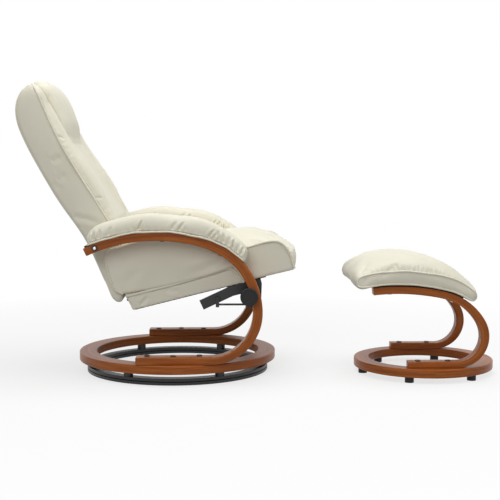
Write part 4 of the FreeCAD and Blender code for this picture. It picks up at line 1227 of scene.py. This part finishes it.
@dataclass
class Back(Assembly):
    """The upholstered back with its bolsters and headrest.

    Attributes:
        half: Half its width.
        lap: Depth of the face that the headrest's lower end lies on.
        hood: How far the headrest's top reaches back over the cushion's top.
        rise: How far the headrest's top is drawn up.
        grip: How far past the seam the shell holds the cushion.
        nest: Height, and depth up to which the bolsters hold the headrest.
        seam: Height, depth and share of the half width along the seam between shell and cushion.
        inset: How far the seam's welt lies ahead of it and inside the shell's side.
        brow: Depth, height and distance across along the rear seam, up and over the shell's top corner.
        darts: Depth, height and distance across along the bolsters' sewn darts.
        dart: The darts' form.
        wrinkle: Depth, height and distance across along the soft fold on a bolster's crest.
        slack: That fold's form.
        creases: Depth and height along the folds on the shell's sides.
        press: Those folds' form.
        puckers: Height, spread and strength of the places where the bolsters' sides pucker.
        flank: Distance across and spread of those puckers.
        thin: Heights over which the headrest grows thinner towards its lower end.
        squeeze: How much thinner it is all over, and by how much more at that end.
        cowl: Heights, and depths, over which its top is drawn back.
        draw: Heights over which its top is drawn up.
    """

    title: str = "back"
    looks: Looks = ((Slot.PLY, ("back_frame",)), (Slot.FABRIC, ("back_straps",)),
                    (Slot.STEEL, ("pivot_plate_", "pivot_washers", "back_hinge_leaves")),
                    (Slot.BRIGHT, ("pivot_bolts",)), (Slot.PLASTIC, ("pivot_bushes",)))
    half: float = 0.2247
    lap: float = 0.057
    hood: float = 0.016
    rise: float = 0.007
    grip: float = 0.006
    nest: Places = ((0.30, 0.070), (0.42, 0.082), (0.50, 0.074))
    seam: Places = (
        (-0.130, 0.012, 1.0), (-0.060, 0.050, 1.0), (0.034, 0.063, 1.0), (0.131, 0.0574, 1.0), (0.236, 0.050, 1.0),
        (0.320, 0.047, 1.0), (0.393, 0.0505, 1.0), (0.448, 0.056, 1.0), (0.476, 0.0585, 0.995), (0.494, 0.058, 0.972),
        (0.504, 0.0565, 0.94), (0.511, 0.0545, 0.87), (0.514, 0.053, 0.78), (0.515, 0.052, 0.62))
    inset: tuple[float, float] = (0.0006, 0.0045)
    brow: Places = (
        (-0.075, -0.100, 0.186), (-0.075, 0.050, 0.190), (-0.075, 0.200, 0.194), (-0.075, 0.330, 0.199),
        (-0.060, 0.405, 0.206), (-0.036, 0.440, 0.211), (-0.022, 0.468, 0.211), (-0.008, 0.488, 0.209),
        (0.008, 0.499, 0.206), (0.024, 0.504, 0.204))
    darts: tuple[Places, ...] = (
        ((0.050, 0.342, 0.228), (0.060, 0.341, 0.226), (0.069, 0.335, 0.220), (0.076, 0.325, 0.210)),
        ((0.062, 0.129, 0.228), (0.074, 0.127, 0.226), (0.084, 0.118, 0.215)))
    dart: Crease = Crease(0.0024, 0.0028, 0.0, (0.1, 0.2))
    wrinkle: Places = ((0.086, 0.140, 0.175), (0.089, 0.105, 0.190), (0.088, 0.070, 0.205))
    slack: Crease = Crease(0.0022, 0.009, 0.4, (0.3, 0.4))
    creases: tuple[Places, ...] = (
        ((-0.002, 0.281), (0.018, 0.283), (0.038, 0.278)), ((-0.014, 0.226), (0.006, 0.229), (0.024, 0.225)),
        ((-0.036, 0.227), (-0.024, 0.212), (-0.008, 0.198)), ((-0.030, 0.115), (0.010, 0.085), (0.045, 0.050)),
        ((-0.025, -0.125), (0.000, -0.105)), ((-0.020, -0.060), (0.020, -0.085)))
    press: Crease = Crease(0.0013, 0.010, 0.35)
    puckers: Places = ((0.0, 0.10, 1.0), (0.32, 0.07, 0.6))
    flank: tuple[float, float] = (0.222, 0.02)
    thin: tuple[float, float] = (0.385, 0.300)
    squeeze: tuple[float, float] = (0.16, 0.64)
    cowl: Places = ((0.485, 0.515), (0.085, 0.055))
    draw: tuple[float, float] = (0.47, 0.51)

    def build(self) -> None:
        """Makes the shell, the cushion, the headrest and the welts along their seams."""
        heights, depths, _ = zip(*self.seam)
        shell = SoftPiece("back_shell", "back", voxel=0.005, rounds=2, swell=Swell.SCULPT, fill=0.8,
                          shape=self.shell).build()
        SoftPiece("back_cushion", "back", voxel=0.005, shrink=0.004, rounds=2,
                  held=lambda points: self.behind(points, heights, depths, self.grip), shape=self.cushion).build()
        SoftPiece("headrest", "back", voxel=0.005, shrink=0.003, rounds=3, cap=0.008, fill=0.65,
                  held=lambda points: self.behind(points, *zip(*self.nest)), shape=self.pillow).build()
        ahead, inside = self.inset
        for side in Side:
            line = [BACK.point(t + ahead, s, side.value * (self.half * wide - inside)) for s, t, wide in self.seam]
            Piping("back_welt_" + side.word, "back", line, radius=0.0036).build()
            edge = BACK.line(self.brow, side.value)
            Piping("back_top_welt_" + side.word, "back", edge, shell, radius=0.0018, lift=0.0006).build()

    @staticmethod
    def behind(points: np.ndarray, heights: Sequence[float], depths: Sequence[float], past: float = 0.0) -> np.ndarray:
        """Finds the points behind a line up the back.

        Args:
            points: Rows of points.
            heights: Heights along the line.
            depths: Depths along it.
            past: How far ahead of it points still count.

        Returns:
            Which points lie behind it.
        """
        t, s, _ = BACK.local(points)
        return t < np.interp(s, heights, depths) + past

    def shell(self, sculpt: Sculpt) -> None:
        """Gives the shell its broad creases.

        Args:
            sculpt: The shell.
        """
        sculpt.lumps(scale=7.0, height=0.0022, seed=5.0)
        for side in Side:
            sculpt.folds([BACK.line(line, side.value * self.half) for line in self.creases], self.press)

    def cushion(self, sculpt: Sculpt) -> None:
        """Gives the bolsters their darts and folds.

        Args:
            sculpt: The cushion.
        """
        sculpt.lumps(scale=9.0, height=0.0022, seed=2.0)
        for side in Side:
            for line in self.darts:
                sculpt.valley(BACK.line(line, side.value), self.dart)
            sculpt.valley(BACK.line(self.wrinkle, side.value), self.slack)
        _, s, across = BACK.local(sculpt.points)
        sides = bell(np.abs(across), *self.flank)
        spots = sum(strength * bell(s, height, spread) for height, spread, strength in self.puckers)
        sculpt.gathers(s, sides * spots, wave=0.019, height=0.0011, seed=7.0)

    def pillow(self, sculpt: Sculpt) -> None:
        """Flattens the headrest towards its lower end and draws its top up and back.

        Args:
            sculpt: The headrest.
        """
        sculpt.lumps(scale=11.0, height=0.0020, seed=9.0)
        t, s, _ = BACK.local(sculpt.points)
        low = share_of(s, *self.thin)
        high = share_of(s, *self.cowl[0]) * share_of(t, *self.cowl[1])
        back = -(self.squeeze[0] + self.squeeze[1] * low * low) * np.clip(t - self.lap, 0.0, 1.0)
        back -= self.hood * high * high * (3.0 - 2.0 * high)
        rise = self.rise * share_of(s, *self.draw)
        ahead, up = (np.array(BACK.point(*axis) - BACK.point(0.0, 0.0)) for axis in ((1.0, 0.0), (0.0, 1.0)))
        sculpt.points = sculpt.points + ahead * back[:, None] + up * rise[:, None]


@dataclass
class Seat(Assembly):
    """The seat with its crowned cushion, side panels and apron.

    Attributes:
        panel: Distance of a side panel's face from the middle.
        deck: Height up to which the seat's frame holds the cushion.
        seam: Places along the welt on a panel's upper edge.
        welt: Places along the welt on a panel's rear edge.
        tuck: Places along the tucked edge between a panel and the apron.
        insets: How far the welts of seam, welt and tuck lie inside the panel's face.
        apron: Distance of the apron's face from the middle.
        tugs: Places along the folds on the apron.
        tug: Those folds' form.
        drapes: Places along the folds on a panel, with their forms.
    """

    title: str = "seat"
    looks: Looks = ((Slot.PLY, ("seat_frame",)), (Slot.FABRIC, ("seat_straps", "seat_dust_cover")),
                    (Slot.STEEL, ("seat_hinge_leaves",)), (Slot.BEARING, ("hinge_pins",)))
    panel: float = 0.2398
    deck: float = 0.058
    seam: Places = (
        (0.150, 0.203), (0.200, 0.183), (0.251, 0.157), (0.300, 0.130), (0.345, 0.104), (0.362, 0.1005),
        (0.389, 0.102), (0.420, 0.103), (0.442, 0.102), (0.462, 0.096), (0.476, 0.080), (0.484, 0.058),
        (0.487, 0.036), (0.487, 0.006))
    welt: Places = (
        (-0.047, 0.190), (-0.048, 0.150), (-0.048, 0.110), (-0.045, 0.082), (-0.037, 0.064), (-0.022, 0.055))
    tuck: Places = (
        (-0.015, 0.0465), (0.050, 0.0462), (0.130, 0.0466), (0.210, 0.0490), (0.270, 0.0515), (0.306, 0.0540),
        (0.313, 0.0510), (0.3225, 0.0270), (0.3325, 0.0015))
    insets: tuple[float, float, float] = (-0.0006, 0.0015, 0.0075)
    apron: float = 0.231
    tugs: tuple[Places, ...] = (((0.02, 0.010), (0.05, 0.032)), ((0.10, 0.036), (0.15, 0.020)),
                                ((-0.03, 0.034), (-0.02, 0.008)))
    tug: Crease = Crease(0.0022, 0.006, 0.5)
    drapes: tuple[tuple[Places, Crease], ...] = (
        (((0.355, 0.094), (0.290, 0.083), (0.230, 0.069), (0.131, 0.056)), Crease(0.0034, 0.011, 0.8, (0.1, 0.5))),
        (((-0.02, 0.080), (0.06, 0.120)), Crease(0.0018, 0.012, 0.5, (0.3, 0.4))))

    def build(self) -> None:
        """Makes the seat's soft pieces and their welts."""
        SoftPiece("seat_cushion", "seat", shrink=0.005, rounds=3, cap=0.013,
                  held=lambda points: SEAT.local(points)[1] < self.deck,
                  shape=lambda sculpt: sculpt.lumps(scale=8.0, height=0.0025, seed=11.0)).build()
        SoftPiece("seat_apron", "seat", voxel=0.004, rounds=2, swell=Swell.SCULPT, fill=0.6, shape=self.band).build()
        for side in Side:
            panel = SoftPiece("seat_side_" + side.word, "seat", voxel=0.0035, rounds=2, swell=Swell.SCULPT, fill=0.6,
                              shape=self.fold).build()
            seam, rear, tuck = (SEAT.line(run, side.value * (self.panel - inset))
                                for run, inset in zip((self.seam, self.welt, self.tuck), self.insets))
            Piping("seat_rear_piping_" + side.word, "seat", rear, panel).build()
            Piping("seat_piping_" + side.word, "seat", seam, radius=0.0038).build()
            Piping("seat_tuck_" + side.word, "seat", tuck, radius=0.0042).build()

    def band(self, sculpt: Sculpt) -> None:
        """Gives the apron its folds.

        Args:
            sculpt: The apron.
        """
        sculpt.lumps(scale=12.0, height=0.0014, seed=13.0)
        for side in Side:
            sculpt.folds([SEAT.line(line, side.value * self.apron) for line in self.tugs], self.tug)

    def fold(self, sculpt: Sculpt) -> None:
        """Gives a side panel its soft folds.

        Args:
            sculpt: The panel.
        """
        sculpt.lumps(scale=10.0, height=0.0012, seed=15.0)
        y = self.panel * (1 if sculpt.points[:, 1].mean() > 0 else -1)
        for line, crease in self.drapes:
            sculpt.valley(SEAT.line(line, y), crease)


@dataclass
class Footstool(Assembly):
    """The footstool with its crowned cushion.

    Attributes:
        half: Half the cushion's width.
        proud: How far outside the cushion's side the welt is aimed before it is laid.
        board: Height over the strip up to which the board holds the cushion.
        flank: Spread of the puckers about the cushion's sides.
        puckers: Height over the strip and spread of the puckers.
        loop: Heading and height over the strip along the welt of a side.
    """

    title: str = "stool"
    looks: Looks = ((STOOL_WOOD, ("stool_ring",)), (Slot.PLY, ("stool_board",)), (Slot.PLASTIC, ("stool_feet",)),
                    (Slot.FABRIC, ("stool_strip_",)), (Slot.STEEL, ("stool_foot_bolts",)),
                    (Slot.BEARING, ("stool_screws",)))
    half: float = 0.200
    proud: float = 0.004
    board: float = 0.010
    flank: float = 0.02
    puckers: tuple[float, float] = (0.058, 0.009)
    loop: Places = (
        (111.0, 0.020), (113.0, 0.030), (118.0, 0.038), (126.0, 0.044), (136.0, 0.047), (148.0, 0.048), (160.0, 0.048),
        (170.0, 0.048), (178.0, 0.048), (184.0, 0.047), (188.0, 0.045), (190.2, 0.041), (191.4, 0.034), (191.9, 0.025),
        (191.6, 0.014), (190.2, 0.006), (187.5, 0.003), (183.0, 0.002), (175.0, 0.002), (163.0, 0.002), (150.0, 0.002),
        (135.0, 0.003), (124.0, 0.005), (114.0, 0.010))

    def build(self) -> None:
        """Makes the stool's strips, its cushion and the welts round the cushion's sides."""
        for side in Side:
            BentStrip("stool_frame_" + side.word, "stool", STOOL_STRIP).build()
        cushion = SoftPiece("stool_cushion", "stool", shrink=0.001, rounds=5, cap=0.014, shape=self.fold,
                            held=lambda points: STOOL_STRIP.local(points)[1] < self.board).build()
        for side in Side:
            y = STOOL_Y + side.value * (self.half + self.proud)
            line = [STOOL_STRIP.point(heading, out, y) for heading, out in self.loop]
            Piping("stool_piping_" + side.word, "stool", line, cushion, closed=True).build()

    def fold(self, sculpt: Sculpt) -> None:
        """Puckers the cushion's sides.

        Args:
            sculpt: The cushion.
        """
        along, out = STOOL_STRIP.local(sculpt.points)
        sides = bell(np.abs(sculpt.points[:, 1] - STOOL_Y), self.half, self.flank)
        above = bell(out, *self.puckers)
        sculpt.lumps(scale=9.0, height=0.0025, seed=19.0)
        sculpt.gathers(along, sides * above, wave=0.013, height=0.0022, seed=17.0)


@dataclass
class Glides(Assembly):
    """The clamped glides under the seat."""

    title: str = "glides"
    looks: Looks = ((Slot.STEEL, ("glide_bar_", "clamp_bracket_", "glide_clamp_", "glide_rod_", "glide_bolts",
                                  "bracket_bolts")),
                    (Slot.BEARING, ("wheel_stud_",)), (Slot.PLASTIC, ("hand_wheel_",)))


@dataclass
class Studio:
    """Floor, light and camera.

    Attributes:
        eye: The camera's place.
        yaw: Its turn to the right, in degrees.
        pitch: Its turn upwards, in degrees.
        lens: Its focal length, in millimetres on a sensor of the given width.
        sensor: The sensor's width, in millimetres.
        spread: Half the floor's width.
        ambient: Strength of the light from all round.
        bounce: How much light the floor gives back to the object.
        pale: How bright the floor is where it shows the shadow.
        veil: How much of the floor is plain white to the camera, close to the object.
        reach: Distances over which the floor turns plain white.
        lamps: Name, place, aim, width and power of each lamp.
    """

    eye: tuple[float, float, float] = (0.16350, -3.29676, 0.63426)
    yaw: float = 1.169
    pitch: float = -4.476
    lens: float = 74.87
    sensor: float = 36.0
    spread: float = 14.0
    ambient: float = 0.25
    bounce: float = 0.42
    pale: float = 0.95
    veil: float = 0.72
    reach: tuple[float, float] = (0.8, 2.0)
    lamps: tuple[tuple, ...] = (("top_lamp", (0.45, -0.15, 3.2), (0.25, 0.0, 0.4), 2.6, 68.0),
                                ("front_lamp", (3.2, -1.4, 2.4), (0.1, 0.0, 0.45), 1.8, 11.0),
                                ("fill_lamp", (-1.2, -3.6, 2.4), (0.1, 0.0, 0.35), 2.2, 46.0))

    def build(self) -> None:
        """Sets up the studio."""
        self.floor()
        self.sky()
        for lamp in self.lamps:
            self.lamp(*lamp)
        self.camera()

    def floor(self) -> None:
        """Lays a pale floor that keeps the object's shadow and turns plain white further off."""
        bm = bmesh.new()
        bmesh.ops.create_grid(bm, x_segments=1, y_segments=1, size=self.spread)
        obj = placed(bm, "studio_floor")
        g = Graph.material("pale_floor")
        g.fill(g.shader, Base_Color=(*[self.bounce] * 3, 1.0), Roughness=0.9, Specular_IOR_Level=0.1)
        pale = g.add("BsdfDiffuse", Color=(*[self.pale] * 3, 1.0)).outputs["BSDF"]
        white = g.add("Emission", Color=(1.0, 1.0, 1.0, 1.0), Strength=1.0).outputs["Emission"]
        far = g.add("VectorMath", g.add("TexCoord").outputs["Object"])
        far.operation = "LENGTH"
        near, end = self.reach
        veil = g.add("MapRange", far.outputs["Value"], From_Min=near, From_Max=end, To_Min=self.veil, To_Max=1.0)
        shown = g.add("MixShader", veil.outputs["Result"], pale, white).outputs["Shader"]
        whole = g.add("MixShader", g.seen(), g.shader.outputs["BSDF"], shown).outputs["Shader"]
        g.fill(g.tree.nodes["Material Output"], Surface=whole)
        obj.data.materials.append(g.owner)

    def sky(self) -> None:
        """Makes the surroundings white to the camera and soft to the object."""
        world = bpy.data.worlds.new("studio")
        bpy.context.scene.world = world
        g = Graph(world)
        level = g.add("MapRange", g.seen(), From_Min=0.0, From_Max=1.0, To_Min=self.ambient, To_Max=1.0)
        g.fill(g.tree.nodes["Background"], Color=(1.0, 1.0, 1.0, 1.0), Strength=level.outputs["Result"])

    @staticmethod
    def lamp(name: str, place: Sequence[float], aim: Sequence[float], size: float, watts: float) -> None:
        """Hangs a soft lamp.

        Args:
            name: Its name.
            place: Where it hangs.
            aim: What it points at.
            size: Its width.
            watts: Its power.
        """
        light = bpy.data.lights.new(name, "AREA")
        light.size, light.energy = size, watts
        obj = linked(name, light)
        obj.location = place
        obj.rotation_euler = (Vector(aim) - Vector(place)).to_track_quat("-Z", "Y").to_euler()

    def camera(self) -> None:
        """Sets the camera at the photograph's angle."""
        data = bpy.data.cameras.new("camera")
        data.lens, data.sensor_width = self.lens, self.sensor
        obj = linked("camera", data)
        obj.location = self.eye
        yaw, pitch = math.radians(self.yaw), math.radians(self.pitch)
        look = Vector((math.sin(yaw) * math.cos(pitch), math.cos(yaw) * math.cos(pitch), math.sin(pitch)))
        obj.rotation_euler = look.to_track_quat("-Z", "Y").to_euler()
        bpy.context.scene.camera = obj


def main() -> None:
    """Builds and dresses everything."""
    logging.basicConfig(level=logging.INFO, format="%(name)s: %(message)s")
    bpy.context.scene.view_settings.view_transform = "Standard"
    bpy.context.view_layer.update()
    for group in (SwivelBase(), SideFrames(), Arms(), Back(), Seat(), Footstool(), Glides()):
        group.build()
        group.dress()
    Studio().build()
    LOG.info("sizes written")


if __name__ == "__main__":
    main()
